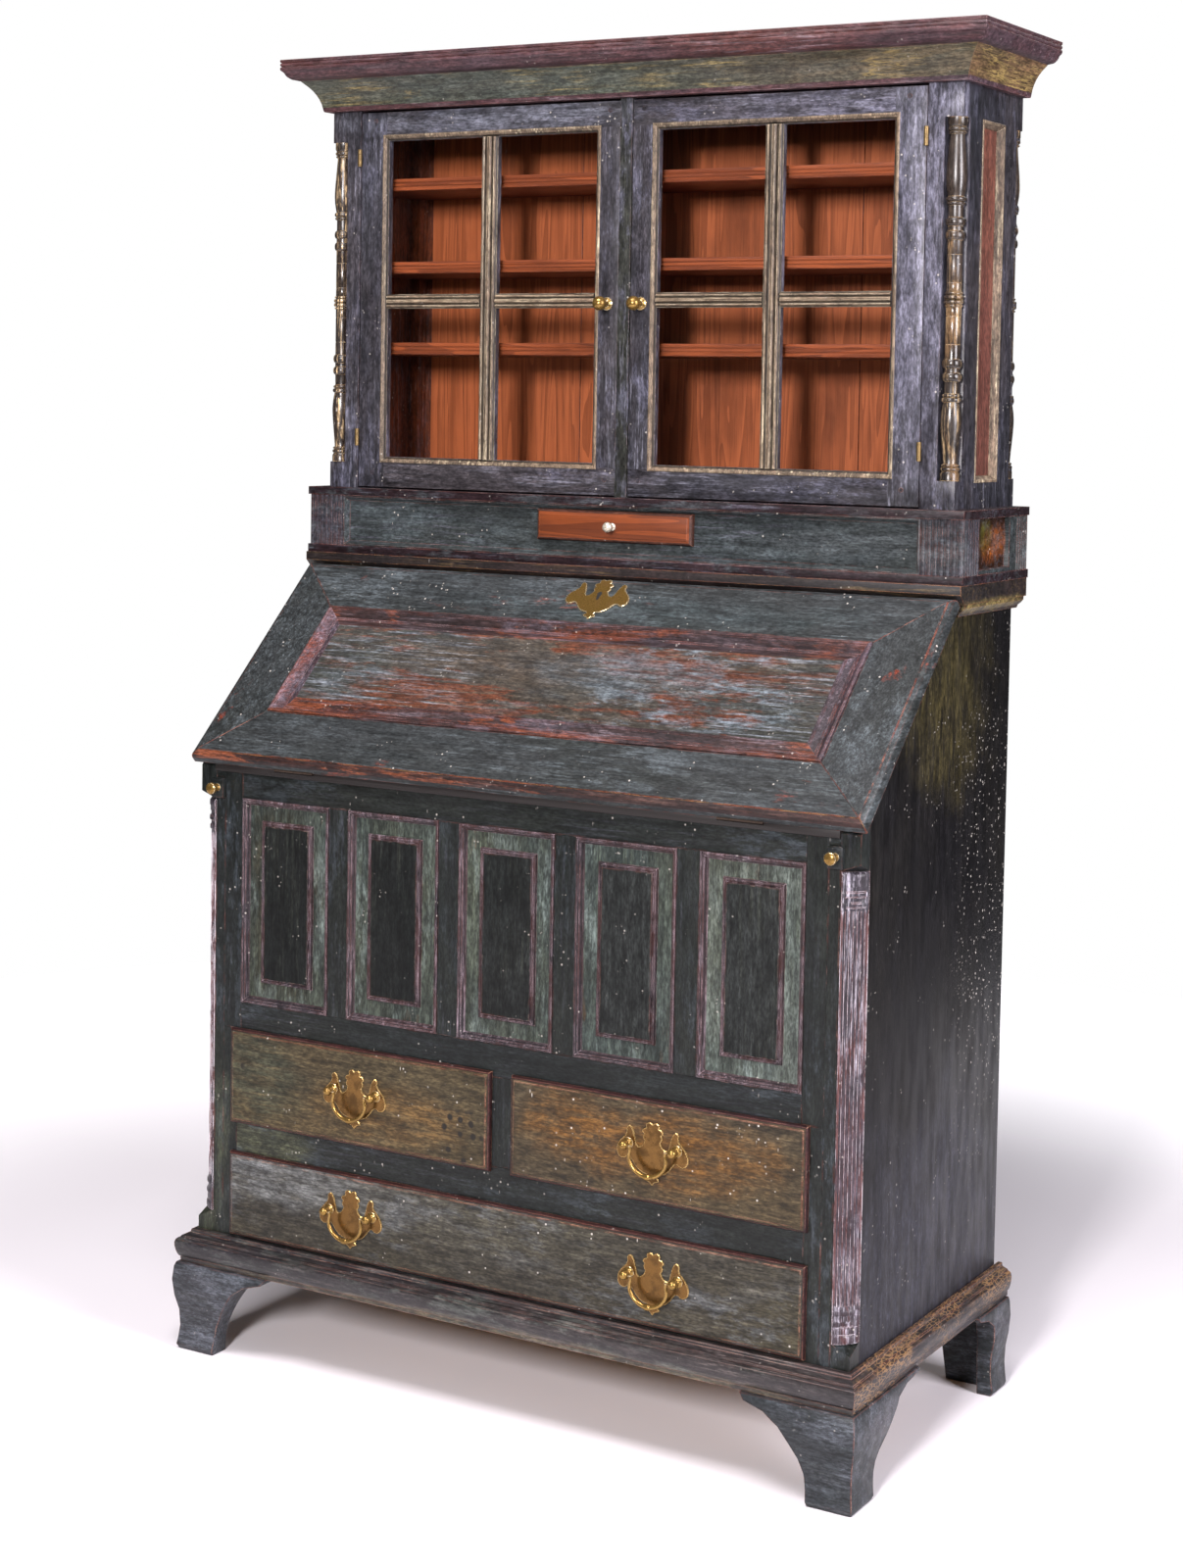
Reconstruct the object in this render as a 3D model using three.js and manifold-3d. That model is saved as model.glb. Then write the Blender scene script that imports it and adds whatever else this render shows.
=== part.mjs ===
// A painted slant-front secretary desk with a glazed bookcase on top, built from its separate pieces.
// Units are millimetres, +Z is up and the front faces -Y. In plan, places are given from the middle of
// the front face of the desk's case, and the finished group is moved so that its box is centred.
import * as THREE from "three";
import { mergeVertices } from "three/addons/utils/BufferGeometryUtils.js";
import Module from "manifold-3d";

const wasm = await Module();
wasm.setup();

// ---- Driving dimensions -------------------------------------------------------------------------

// Desk case
const CASE_HALF = 488; // half the width over the sides
const CASE_BACK = 458; // rear edge of the sides
const SIDE_THICK = 18;
const CASE_INNER = CASE_HALF - SIDE_THICK;
const FRAME_DEPTH = 26; // thickness of the front frame and of its corner posts
const BASE_LOW = 121; // underside of the case and of the base moulding
const TOP_LOW = 1056; // underside of the desk's top board
const TOP_HIGH = 1080;
const TOP_HALF = 502;
const REAR = 474; // rear face of everything that runs past the case's back
const BACK_THICK = 13;
const BOTTOM_THICK = 16;
const GAP = 0.3; // between pieces that touch on a slope
const RUN = 0.5; // around pieces that move in an opening

// Feet and base moulding: how far they stand out, with the front a little bolder than the sides
const FRONT_BOLD = 1.4;
const BASE_HIGH = 164;

// Fall front: it turns about the front edge of the writing board
const WRITE_Z = 805.5;
const HINGE_Y = -4.7;
const SLOPE = THREE.MathUtils.degToRad(43.1);
const FALL_HALF = 497;
const FALL_LENGTH = 363.5;
const FALL_THICK = 18;
const FALL_RAIL = 84;

// Openings in the front frame
const OPEN_HALF = 424; // half-width over the drawer openings
const LOWER_Z = [174, 275];
const UPPER_Z = [328, 443.5];
const MID_STILE = 22; // half-width of the stile between the two upper drawers
const PANEL_HALF = 418; // half-width over the row of five panels
const PANEL_WIDTH = 142;
const PANEL_Z = [485.5, 762.5];
const PANEL_COUNT = 5;
const FRAME_TOP = 796.5;
const LIP = 6.5; // how far a drawer's lip covers the frame

// Chamfered corners and their fluted columns
const CHAMFER = 26;
const CHAMFER_Z = [193, 757];
const STOP = 12; // length of the pointed ends of the chamfer
const FLUTES = 7;

// Lopers, the sliding supports of the fall front
const LOPER_X = [447.5, 466.5];
const LOPER_Z = [760, 787];
const LOPER_Y = [-6, 294];

// Low case between desk and bookcase
const MID_HALF = 501;
const MID_FRONT = 255;
const MID_REAR = 477;
const MID_Z = [TOP_HIGH, 1173];
const MID_BOARD = 11;
const MID_CORE = [1091, 1162]; // between its bottom and top boards
const REED_WIDE = 58;
const REED_SIDE = 56;
const REED_REAR = 40;
const REED_DEEP = 2.5;
const MID_DRAWER = { half: 114, z: [1118.5, 1149.5] };

// Bookcase
const BOOK_HALF = 480;
const BOOK_FRONT = 274.5;
const BOOK_REAR = 474;
const BOOK_Z = [1173, 1705];
const NOTCH = 25; // width of the corner notch that holds a colonnette
const NOTCH_DEEP = 20;
const BLOCK_TALL = [36, 43]; // square blocks below and above a colonnette
const STILE_IN = 432.5; // inner edge of the face stile beside a door
const CENTRE_HALF = 9;
const DOOR = { x: [10, 431], z: [1175, 1702], y: [275, 295] };
const PANE_X = [[48, 205], [231, 386]];
const PANE_Z = [[1218, 1427], [1447, 1662]];
const DOOR_MOULD = 8;
const SHELF_TOPS = [1380, 1494, 1611];
const SHELF_THICK = 17;
const SIDE_PANEL = { y: [338, 414], z: [1206, 1664] };

// ---- Materials ----------------------------------------------------------------------------------

function finish(color, roughness, metalness = 0) {
  return new THREE.MeshStandardMaterial({ color, roughness, metalness });
}

const DARK_PAINT = finish(0x252a28, 0.5);
const BLUE_PAINT = finish(0x3a3d48, 0.45);
const GREEN_PAINT = finish(0x4b5546, 0.55);
const RED_WOOD = finish(0x7a3320, 0.6);
const BARE_WOOD = finish(0x8d6a42, 0.7);
const BRASS = finish(0xb08a3c, 0.3, 1);
const GLASS = new THREE.MeshStandardMaterial({
  color: 0xdfe8e8,
  roughness: 0.05,
  transparent: true,
  opacity: 0.25,
});

// ---- Geometry helpers ---------------------------------------------------------------------------

const group = new THREE.Group();

function add(name, geometry, material) {
  const mesh = new THREE.Mesh(geometry, material);
  mesh.name = name;
  group.add(mesh);
  return mesh;
}

// A box given by its two limits on each axis.
function box(x, y, z) {
  const geometry = new THREE.BoxGeometry(2, 2, 2);
  const p = geometry.attributes.position;
  for (let i = 0; i < p.count; i++) {
    const low = [p.getX(i) < 0, p.getY(i) < 0, p.getZ(i) < 0];
    p.setXYZ(i, low[0] ? x[0] : x[1], low[1] ? y[0] : y[1], low[2] ? z[0] : z[1]);
  }
  return geometry;
}

function shapeOf(points) {
  return new THREE.Shape(points.map(([a, b]) => new THREE.Vector2(a, b)));
}

// A prism along "x" (outline in Y, Z), "y" (outline in X, Z) or "z" (outline in X, Y).
function prism(axis, points, [from, to], holes = []) {
  const depth = to - from;
  const geometry = new THREE.ExtrudeGeometry(shapeOf(points), { depth, bevelEnabled: false });
  const p = geometry.attributes.position;
  for (let i = 0; i < p.count; i++) {
    const [a, b] = [p.getX(i), p.getY(i)];
    const near = p.getZ(i) < depth / 2;
    if (axis === "x") p.setXYZ(i, near ? from : to, a, b);
    else if (axis === "y") p.setXYZ(i, a, near ? to : from, b);
    else p.setXYZ(i, a, b, near ? from : to);
  }
  if (!holes.length) return geometry;
  return cut(geometry, ...holes.map((hole) => prism(axis, hole, [from - 1, to + 1])));
}

function rectangle([a0, a1], [b0, b1]) {
  return [[a0, b0], [a1, b0], [a1, b1], [a0, b1]];
}

// A closed mesh from points and triangles, turned to face outwards.
function closedMesh(points, triangles) {
  const v = points.map((q) => new THREE.Vector3(...q));
  const volume = triangles.reduce(
    (sum, [a, b, c]) => sum + v[a].dot(new THREE.Vector3().crossVectors(v[b], v[c])),
    0,
  );
  const faces = volume < 0 ? triangles.map(([a, b, c]) => [a, c, b]) : triangles;
  const geometry = new THREE.BufferGeometry();
  geometry.setAttribute("position", new THREE.Float32BufferAttribute(points.flat(), 3));
  geometry.setIndex(faces.flat());
  return geometry;
}

// Joins a row of sections with the same number of points: capped at both ends, or closed in a ring.
function loft(sections, ring = false) {
  const n = sections[0].length;
  const triangles = [];
  const last = ring ? sections.length : sections.length - 1;
  for (let i = 0; i < last; i++) {
    const j = (i + 1) % sections.length;
    for (let k = 0; k < n; k++) {
      const m = (k + 1) % n;
      triangles.push([i * n + k, i * n + m, j * n + m], [i * n + k, j * n + m, j * n + k]);
    }
  }
  if (!ring) {
    const start = (sections.length - 1) * n;
    for (const [a, b, c] of capTriangles(sections[0])) triangles.push([a, c, b]);
    for (const [a, b, c] of capTriangles(sections[sections.length - 1])) {
      triangles.push([start + a, start + b, start + c]);
    }
  }
  return closedMesh(sections.flat(), triangles);
}

// Triangles of a flat outline in space, seen along its own normal.
function capTriangles(section) {
  const v = section.map((q) => new THREE.Vector3(...q));
  const normal = new THREE.Vector3();
  v.forEach((a, i) => normal.add(new THREE.Vector3().crossVectors(a, v[(i + 1) % v.length])));
  normal.normalize();
  const across = new THREE.Vector3(1, 0, 0);
  if (Math.abs(normal.x) > 0.9) across.set(0, 1, 0);
  const right = new THREE.Vector3().crossVectors(across, normal).normalize();
  const up = new THREE.Vector3().crossVectors(normal, right);
  return THREE.ShapeUtils.triangulateShape(v.map((q) => new THREE.Vector2(q.dot(right), q.dot(up))), []);
}

// Nested rectangles [inset, depth] inside a rectangle, placed by a function of (a, b, depth).
function nested([a0, a1], [b0, b1], steps, place, ring = false) {
  const sections = steps.map(([inset, depth]) =>
    rectangle([a0 + inset, a1 - inset], [b0 + inset, b1 - inset]).map(([a, b]) => place(a, b, depth)),
  );
  return loft(sections, ring);
}

const facing = (a, b, depth) => [a, depth, b];

// A moulding [outwards, z] mitred round the front and two sides of a case.
function threeSides(half, front, rear, profile, bold = 1) {
  const corners = [
    [half, rear, 1, 0],
    [half, front, 1, -bold],
    [-half, front, -1, -bold],
    [-half, rear, -1, 0],
  ];
  return loft(corners.map(([x, y, dx, dy]) => profile.map(([out, z]) => [x + out * dx, y + out * dy, z])));
}

function stripped(geometry) {
  const bare = geometry.clone();
  bare.deleteAttribute("normal");
  bare.deleteAttribute("uv");
  return bare;
}

function toSolid(geometry) {
  const merged = mergeVertices(stripped(geometry), 1e-4);
  const mesh = new wasm.Mesh({
    numProp: 3,
    vertProperties: merged.attributes.position.array,
    triVerts: new Uint32Array(merged.index.array),
  });
  return new wasm.Manifold(mesh);
}

// A solid whose faces point outwards, whichever way the geometry was wound.
function outward(geometry) {
  const bare = mergeVertices(stripped(geometry), 1e-4);
  const index = [...bare.index.array];
  const solid = toSolid(bare);
  if (solid.volume() > 0) return solid;
  for (let i = 0; i < index.length; i += 3) [index[i + 1], index[i + 2]] = [index[i + 2], index[i + 1]];
  bare.setIndex(index);
  return toSolid(bare);
}

function toGeometry(solid) {
  const mesh = solid.getMesh();
  const geometry = new THREE.BufferGeometry();
  geometry.setAttribute("position", new THREE.BufferAttribute(new Float32Array(mesh.vertProperties), 3));
  geometry.setIndex(new THREE.BufferAttribute(new Uint32Array(mesh.triVerts), 1));
  return geometry;
}

function join(...geometries) {
  return toGeometry(geometries.map(toSolid).reduce((sum, next) => sum.add(next)));
}

function cut(geometry, ...tools) {
  return toGeometry(tools.map(toSolid).reduce((rest, tool) => rest.subtract(tool), toSolid(geometry)));
}

function common(a, b) {
  return toGeometry(toSolid(a).intersect(toSolid(b)));
}

// The same geometry on the other side of the middle plane.
function mirrored(geometry) {
  const plain = toGeometry(toSolid(geometry));
  const p = plain.attributes.position;
  for (let i = 0; i < p.count; i++) p.setX(i, -p.getX(i));
  const turned = [...plain.index.array];
  for (let i = 0; i < turned.length; i += 3) {
    [turned[i + 1], turned[i + 2]] = [turned[i + 2], turned[i + 1]];
  }
  plain.setIndex(turned);
  return plain;
}

// Adds a piece made for the +X side, and its mirror image for the -X side.
function addPair(name, geometry, material) {
  add(`${name}_right`, geometry, material);
  add(`${name}_left`, mirrored(geometry), material);
}

// A turned piece from a profile [radius, along] that starts and ends on its axis, "y" or "z".
function turned(profile, [x, y, z], axis, sides) {
  const geometry = new THREE.LatheGeometry(profile.map(([r, t]) => new THREE.Vector2(r, t)), sides);
  if (axis === "z") geometry.rotateX(Math.PI / 2);
  geometry.translate(x, y, z);
  return toGeometry(outward(geometry));
}

// ---- Feet and base moulding ---------------------------------------------------------------------

// The ogee of a bracket foot, [outwards, z], and its flat inner face.
const FOOT_PROFILE = [
  [-5, 0], [15, 0], [17.5, 6], [16, 16], [14.5, 32], [15.5, 54], [19.5, 75], [21.5, 97],
  [20, 115], [18, BASE_LOW], [-5, BASE_LOW],
];
const FOOT_REACH = { front: 140, side: 190 };

function frontFoot() {
  const path = [
    [CASE_HALF, FOOT_REACH.side, 1, 0],
    [CASE_HALF, 0, 1, -FRONT_BOLD],
    [CASE_HALF - FOOT_REACH.front, 0, 0, -FRONT_BOLD],
  ];
  const bar = loft(path.map(([x, y, dx, dy]) => FOOT_PROFILE.map(([out, z]) => [x + out * dx, y + out * dy, z])));
  const face = [
    [520, -1], [445, -1], [443, 20], [440, 38], [432, 56], [422, 73], [409, 91], [389, 105],
    [362, 113], [354, 122], [520, 122],
  ];
  const flank = [
    [-50, -1], [38, -1], [42, 24], [48, 44], [64, 60], [84, 82], [103, 105], [128, 114],
    [165, 117], [172, 122], [-50, 122],
  ];
  const front = common(bar, prism("y", face, [-60, 7.5]));
  const side = common(bar, prism("x", flank, [CASE_HALF - 5.5, 540]));
  return join(front, side);
}

function rearFoot() {
  const straight = [[CASE_HALF, 340], [CASE_HALF, REAR - 6]];
  const bar = loft(straight.map(([x, y]) => FOOT_PROFILE.map(([out, z]) => [x + out, y, z])));
  const flank = [
    [418, -1], [480, -1], [480, 122], [362, 122], [366, 116], [392, 110], [410, 98], [415, 80],
  ];
  const side = common(bar, prism("x", flank, [CASE_HALF - 8, 540]));
  const rearBoard = [[428, 0], [486, 0], [486, BASE_LOW], [410, BASE_LOW]];
  return join(side, prism("y", rearBoard, [446, 464]));
}

function addFeet() {
  addPair("foot_front", frontFoot(), GREEN_PAINT);
  addPair("foot_rear", rearFoot(), GREEN_PAINT);
}

function addBaseMoulding() {
  const profile = [
    [0, BASE_LOW], [14.5, BASE_LOW], [14.5, 127], [16.5, 130], [18.5, 137], [19.7, 145], [19, 151],
    [14.5, 155], [9, 157.5], [6, 158.5], [6, BASE_HIGH], [0, BASE_HIGH],
  ];
  add("base_moulding", threeSides(CASE_HALF, 0, REAR - 2, profile, FRONT_BOLD), DARK_PAINT);
}

// ---- Desk case ----------------------------------------------------------------------------------

// Height of the fall's inner face above a point on the side, in the closed position.
function slopeZ(y) {
  return WRITE_Z + (y - HINGE_Y) * Math.tan(SLOPE);
}

function addCase() {
  const rise = GAP / Math.cos(SLOPE);
  const topStart = HINGE_Y + (TOP_LOW + rise - WRITE_Z) / Math.tan(SLOPE);
  const outline = [
    [FRAME_DEPTH, BASE_LOW],
    [CASE_BACK, BASE_LOW],
    [CASE_BACK, TOP_LOW],
    [topStart, TOP_LOW],
    [FRAME_DEPTH, slopeZ(FRAME_DEPTH) - rise],
  ];
  addPair("desk_side", prism("x", outline, [CASE_INNER, CASE_HALF]), DARK_PAINT);
  const inside = [-CASE_INNER, CASE_INNER];
  const backFace = CASE_BACK - 1 - BACK_THICK;
  add("desk_bottom", box(inside, [FRAME_DEPTH, backFace], [BASE_LOW, BASE_LOW + BOTTOM_THICK]), BARE_WOOD);
  add("desk_back", box(inside, [backFace, CASE_BACK - 1], [BASE_LOW, TOP_LOW]), BARE_WOOD);
}

function addDeskTop() {
  const section = [
    [REAR, TOP_LOW], [REAR, TOP_HIGH], [249, TOP_HIGH], [249, 1068.5], [262, TOP_LOW],
  ];
  const board = prism("x", section, [-TOP_HALF, TOP_HALF]);
  const under = [
    [CASE_HALF, 1040], [490.5, 1040], [492, 1044], [496, 1047], [499.5, 1051], [500, TOP_LOW + 1],
    [CASE_HALF, TOP_LOW + 1],
  ];
  const strip = loft([270, REAR - 3].map((y) => under.map(([x, z]) => [x, y, z])));
  add("desk_top", join(board, strip, mirrored(strip)), DARK_PAINT);
}

// Lower left corners of the five panel openings, in order from the left.
function panelLefts() {
  const pitch = (2 * PANEL_HALF - PANEL_WIDTH) / (PANEL_COUNT - 1);
  return Array.from({ length: PANEL_COUNT }, (_, i) => -PANEL_HALF + i * pitch);
}

// The wedge that takes off a front corner, with a pointed stop at each end.
function chamferTool() {
  const past = 2;
  const line = CHAMFER + 2 * past;
  const x = CASE_HALF + past;
  const triangle = (z) => [[x - line, -past, z], [x, -past, z], [x, line - past, z]];
  const tip = (z) => [[x - 0.01, -past, z], [x, -past, z], [x, 0.01 - past, z]];
  const [low, high] = CHAMFER_Z;
  const reach = STOP * line / CHAMFER;
  return loft([tip(low - reach), triangle(low), triangle(high), tip(high + reach * 0.8)]);
}

function frontFrame() {
  const post = CASE_HALF - CHAMFER;
  const outline = [
    [-CASE_HALF, BASE_LOW], [CASE_HALF, BASE_LOW], [CASE_HALF, 790], [post, 790], [post, FRAME_TOP],
    [-post, FRAME_TOP], [-post, 790], [-CASE_HALF, 790],
  ];
  const holes = panelLefts().map((left) => rectangle([left, left + PANEL_WIDTH], PANEL_Z));
  holes.push(rectangle([-OPEN_HALF, OPEN_HALF], LOWER_Z));
  holes.push(rectangle([-OPEN_HALF, -MID_STILE], UPPER_Z), rectangle([MID_STILE, OPEN_HALF], UPPER_Z));
  let frame = prism("y", outline, [0, FRAME_DEPTH], holes);
  const postTop = [[0, 780], [FRAME_DEPTH, 780], [FRAME_DEPTH, slopeZ(FRAME_DEPTH) - 2], [0, 802]];
  const topBlock = prism("x", postTop, [post + GAP, CASE_HALF]);
  frame = join(frame, topBlock, mirrored(topBlock));
  const slotX = [LOPER_X[0] - RUN, LOPER_X[1] + RUN];
  const slot = box(slotX, [-1, FRAME_DEPTH + 1], [LOPER_Z[0] - RUN, LOPER_Z[1] + RUN]);
  const corner = chamferTool();
  return cut(frame, slot, mirrored(slot), corner, mirrored(corner));
}

// Dust boards behind the frame that the drawers run on, with the wall between the upper two.
function dustBoards() {
  const deep = [FRAME_DEPTH - 4, 440];
  const wide = [-CASE_INNER + GAP, CASE_INNER - GAP];
  const levels = [[162, 173.5], [316, 327.5], [452, 462]];
  const boards = levels.map((z) => box(wide, deep, z));
  const clear = levels.map((z) => box([-500, 500], [0, FRAME_DEPTH], z));
  const behind = boards.map((board, i) => cut(board, clear[i]));
  const wall = box([-MID_STILE + 2, MID_STILE - 2], [FRAME_DEPTH - 2, 440], [326, 453]);
  const tongues = levels.map((z) => box([-OPEN_HALF, OPEN_HALF], [FRAME_DEPTH - 2, FRAME_DEPTH + 2], [z[0], z[1]]));
  return [...behind, ...tongues, wall];
}

function addFrontFrame() {
  add("front_frame", join(frontFrame(), ...dustBoards()), DARK_PAINT);
  const steps = [
    [GAP, 22], [GAP, -1], [2.5, -1.5], [8.5, 6], [29, 6.5], [31, 3], [33.5, 2], [35, 3],
  ];
  panelLefts().forEach((left, i) => {
    const panel = nested([left, left + PANEL_WIDTH], PANEL_Z, steps, facing);
    add(`front_panel_${i + 1}`, panel, GREEN_PAINT);
  });
}

// Plan outline of a piece lying on the chamfer: flat behind, bulging in front, with optional flutes.
function columnPlan(bulge, flutes) {
  const wide = CHAMFER * Math.SQRT2 - 2;
  const at = (u, w) => {
    const along = (u + 1) / Math.SQRT2;
    const out = (w + GAP) / Math.SQRT2;
    return [CASE_HALF - CHAMFER + along + out, along - out];
  };
  const points = [at(wide, 0), at(0, 0)];
  const count = flutes ? flutes * 4 : 8;
  for (let i = 0; i <= count; i++) {
    const share = i / count;
    const arch = bulge * (0.35 + 0.65 * Math.sin(Math.PI * share));
    const groove = flutes && i % 4 !== 0 ? 1.6 : 0;
    points.push(at(share * wide, arch - groove));
  }
  return points.reverse();
}

function addColumns() {
  const [low, high] = CHAMFER_Z;
  const rings = [
    [low, low + 9, 7], [low + 9, low + 20, 5], [low + 20, low + 25, 7], [low + 25, low + 34, 5],
    [low + 34, low + 40, 6.5], [high - 43, high - 37, 6.5], [high - 37, high - 30, 5],
    [high - 30, high - 24, 7], [high - 24, high - 11, 5], [high - 11, high - 2, 7],
  ];
  const shaft = prism("z", columnPlan(4.5, FLUTES), [low + 1, high - 3]);
  const bands = rings.map(([from, to, bulge]) => prism("z", columnPlan(bulge, 0), [from, to]));
  addPair("corner_column", join(shaft, ...bands), DARK_PAINT);
}

// ---- Inside the desk ----------------------------------------------------------------------------

function addWritingBoard() {
  const front = box([-CASE_HALF + CHAMFER, CASE_HALF - CHAMFER], [HINGE_Y + GAP, 40], [FRAME_TOP, WRITE_Z]);
  const board = box([-CASE_INNER, CASE_INNER], [FRAME_DEPTH, 443], [FRAME_TOP - 5.5, WRITE_Z]);
  const clearPosts = box([CASE_HALF - CHAMFER, 500], [-10, FRAME_DEPTH], [780, 820]);
  const run = [FRAME_DEPTH + GAP, 300];
  const wall = box([438, LOPER_X[0] - RUN], run, [750, WRITE_Z - 5]);
  const floor = box([438, CASE_INNER - GAP], run, [750, LOPER_Z[0] - RUN]);
  const guide = join(wall, floor);
  const room = fallHinge(1);
  const whole = cut(join(front, board), clearPosts, mirrored(clearPosts), room, mirrored(room));
  add("writing_board", join(whole, guide, mirrored(guide)), RED_WOOD);
}

function addPigeonholes() {
  const half = CASE_INNER - 1;
  const [low, high] = [WRITE_Z, TOP_LOW - 1];
  const wall = 8;
  const split = low + 78; // top of the lower row
  const holes = [];
  for (const [count, z0, z1] of [[4, low + wall, split], [8, split + wall, high - wall]]) {
    const width = (2 * half - wall * (count + 1)) / count;
    for (let i = 0; i < count; i++) {
      const left = -half + wall + i * (width + wall);
      holes.push(rectangle([left, left + width], [z0, z1]));
    }
  }
  const outline = rectangle([-half, half], [low, high]);
  add("pigeonholes", prism("y", outline, [272, 443], holes), RED_WOOD);
}

function addLopers() {
  addPair("loper", box(LOPER_X, LOPER_Y, LOPER_Z), DARK_PAINT);
  const knob = [[0, -GAP], [5, -GAP], [4, -4], [3.2, -7], [7, -10], [8, -13], [7, -16], [0, -17]];
  const middle = (LOPER_X[0] + LOPER_X[1]) / 2;
  addPair("loper_knob", turned(knob, [middle, LOPER_Y[0], 774], "y", 12), BRASS);
}

// ---- Fall front ---------------------------------------------------------------------------------

const FALL_HINGE = { x: [300, 362], pin: 2, leaf: 26, thick: 1.6 };

// The hinge's knuckle on the fall's axis, and the leaf let into the fall's inner face.
function fallHinge(slack) {
  const { x, pin, leaf, thick } = FALL_HINGE;
  const length = x[1] - x[0] + 2 * slack;
  const knuckle = new THREE.CylinderGeometry(pin + slack, pin + slack, length, 12).rotateZ(Math.PI / 2);
  knuckle.translate((x[0] + x[1]) / 2, HINGE_Y, WRITE_Z);
  const corners = [[0, -slack], [leaf + slack, -slack], [leaf + slack, thick + slack], [0, thick + slack]];
  const plate = loft([x[0] - slack, x[1] + slack].map((at) => corners.map(([up, out]) => onFall(at, up, out))));
  return join(knuckle, plate);
}

// A point of the closed fall: across, up the slope from its lower edge, and out from its inner face.
function onFall(across, up, out) {
  const [c, s] = [Math.cos(SLOPE), Math.sin(SLOPE)];
  return [across, HINGE_Y + up * c - out * s, WRITE_Z + up * s + out * c];
}

function addFallFront() {
  const T = FALL_THICK;
  const whole = [[-FALL_HALF, FALL_HALF], [0, FALL_LENGTH]];
  const section = [
    [0, 0], [0, T - 8], [1.5, T - 4], [5, T - 1.8], [8, T - 1.8], [8, T], [FALL_RAIL, T], [FALL_RAIL, 0],
  ];
  const room = fallHinge(GAP);
  const frame = nested(...whole, section, onFall, true);
  add("fall_frame", cut(frame, room, mirrored(room)), GREEN_PAINT);
  addPair("fall_hinge", fallHinge(0), BRASS);
  const panel = [
    [GAP, 2], [GAP, T + 0.4], [2.5, T + 1], [10, T - 8], [11, T - 8.5], [28, T - 4], [28.3, T - 2.5],
  ];
  const opening = whole.map(([a, b]) => [a + FALL_RAIL, b - FALL_RAIL]);
  add("fall_panel", nested(...opening, panel, onFall), GREEN_PAINT);
  const plate = batwing(48, 36);
  const edge = [T + GAP, T + GAP + 1.6];
  const sections = edge.map((out) => plate.map(([a, b]) => onFall(a, FALL_LENGTH - 42 + b, out)));
  const keyhole = [[3, 8], [3.4, 11.5], [0, 14], [-3.4, 11.5], [-3, 8], [-1.8, 0], [1.8, 0]];
  const hole = loft([T - 1, T + 4].map((out) => keyhole.map(([a, b]) => onFall(a, FALL_LENGTH - 42 + b, out))));
  add("fall_escutcheon", cut(loft(sections), hole), BRASS);
}

// ---- Brasses ------------------------------------------------------------------------------------

// Half-outline of a batwing plate as shares of its half-width and half-height, from the top down:
// a narrow crown, a deep notch, the wing round the post, the belly and a small drop at the bottom.
const BATWING = [
  [0, 0.95], [0.1, 1], [0.2, 0.9], [0.27, 0.72], [0.25, 0.48], [0.35, 0.2], [0.45, 0.27], [0.5, 0.52],
  [0.6, 0.8], [0.72, 0.74], [0.76, 0.5], [0.92, 0.27], [1, 0], [0.94, -0.22], [0.78, -0.28],
  [0.66, -0.18], [0.54, -0.32], [0.4, -0.54], [0.14, -0.66], [0.18, -0.82], [0, -1],
];

function batwing(halfWide, halfTall) {
  const right = BATWING.map(([a, b]) => [a * halfWide, b * halfTall]);
  const left = right.slice(1, -1).map(([a, b]) => [-a, b]);
  return [...right.reverse(), ...left];
}

const PLATE = { halfWide: 50, halfTall: 39, thick: 1.6 };
const PULL = { spread: 34, rise: 9, post: 5.5, reach: 14, pin: 1.5, bore: 2.3, rod: 2.6, drop: 34 };
const FACE_Y = -8.6; // front face of a large drawer

// A plate with its two bored posts, centred on (x, z).
function pullPlate(x, z) {
  const back = FACE_Y - GAP;
  const outline = batwing(PLATE.halfWide, PLATE.halfTall).map(([a, b]) => [x + a, z + b]);
  const plate = prism("y", outline, [back - PLATE.thick, back]);
  const [axisY, axisZ] = [FACE_Y - PULL.reach, z + PULL.rise];
  const stem = [[0, 0], [5, 0], [3.4, -3], [3.4, -9], [0, -9]];
  const posts = [-PULL.spread, PULL.spread].map((dx) => {
    const stalk = turned(stem, [x + dx, back - 1, axisZ], "y", 8);
    const ball = new THREE.SphereGeometry(PULL.post, 8, 6).translate(x + dx, axisY, axisZ);
    return join(stalk, ball);
  });
  const bore = new THREE.CylinderGeometry(PULL.bore, PULL.bore, 3 * PULL.spread, 8);
  bore.rotateZ(Math.PI / 2).translate(x, axisY, axisZ);
  return cut(join(plate, ...posts), bore);
}

// A bail hanging between the posts: pins out into the bores, then a round-bottomed drop.
function bail(x, z) {
  const { spread, drop } = PULL;
  const [y, axisZ] = [FACE_Y - PULL.reach, z + PULL.rise];
  const neck = spread - 9;
  const half = [[neck, 0], [neck + 1, -drop * 0.3], [neck - 1, -drop * 0.55], [neck - 12, -drop * 0.92], [0, -drop]];
  const points = [...half, ...half.slice(0, -1).map(([a, b]) => [-a, b]).reverse()];
  const curve = new THREE.CatmullRomCurve3(points.map(([a, b]) => new THREE.Vector3(x + a, y, axisZ + b)));
  const ring = [0, 1, 2, 3, 4, 5].map((i) => [
    PULL.rod * Math.cos((i * Math.PI) / 3),
    PULL.rod * Math.sin((i * Math.PI) / 3),
  ]);
  const drawn = new THREE.ExtrudeGeometry(shapeOf(ring), { steps: 18, extrudePath: curve });
  const pins = [-1, 1].map((side) => {
    const pin = new THREE.CylinderGeometry(PULL.pin, PULL.pin, 14, 6).rotateZ(Math.PI / 2);
    return pin.translate(x + side * (neck + 6.5), y, axisZ);
  });
  return join(drawn, ...pins);
}

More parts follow.
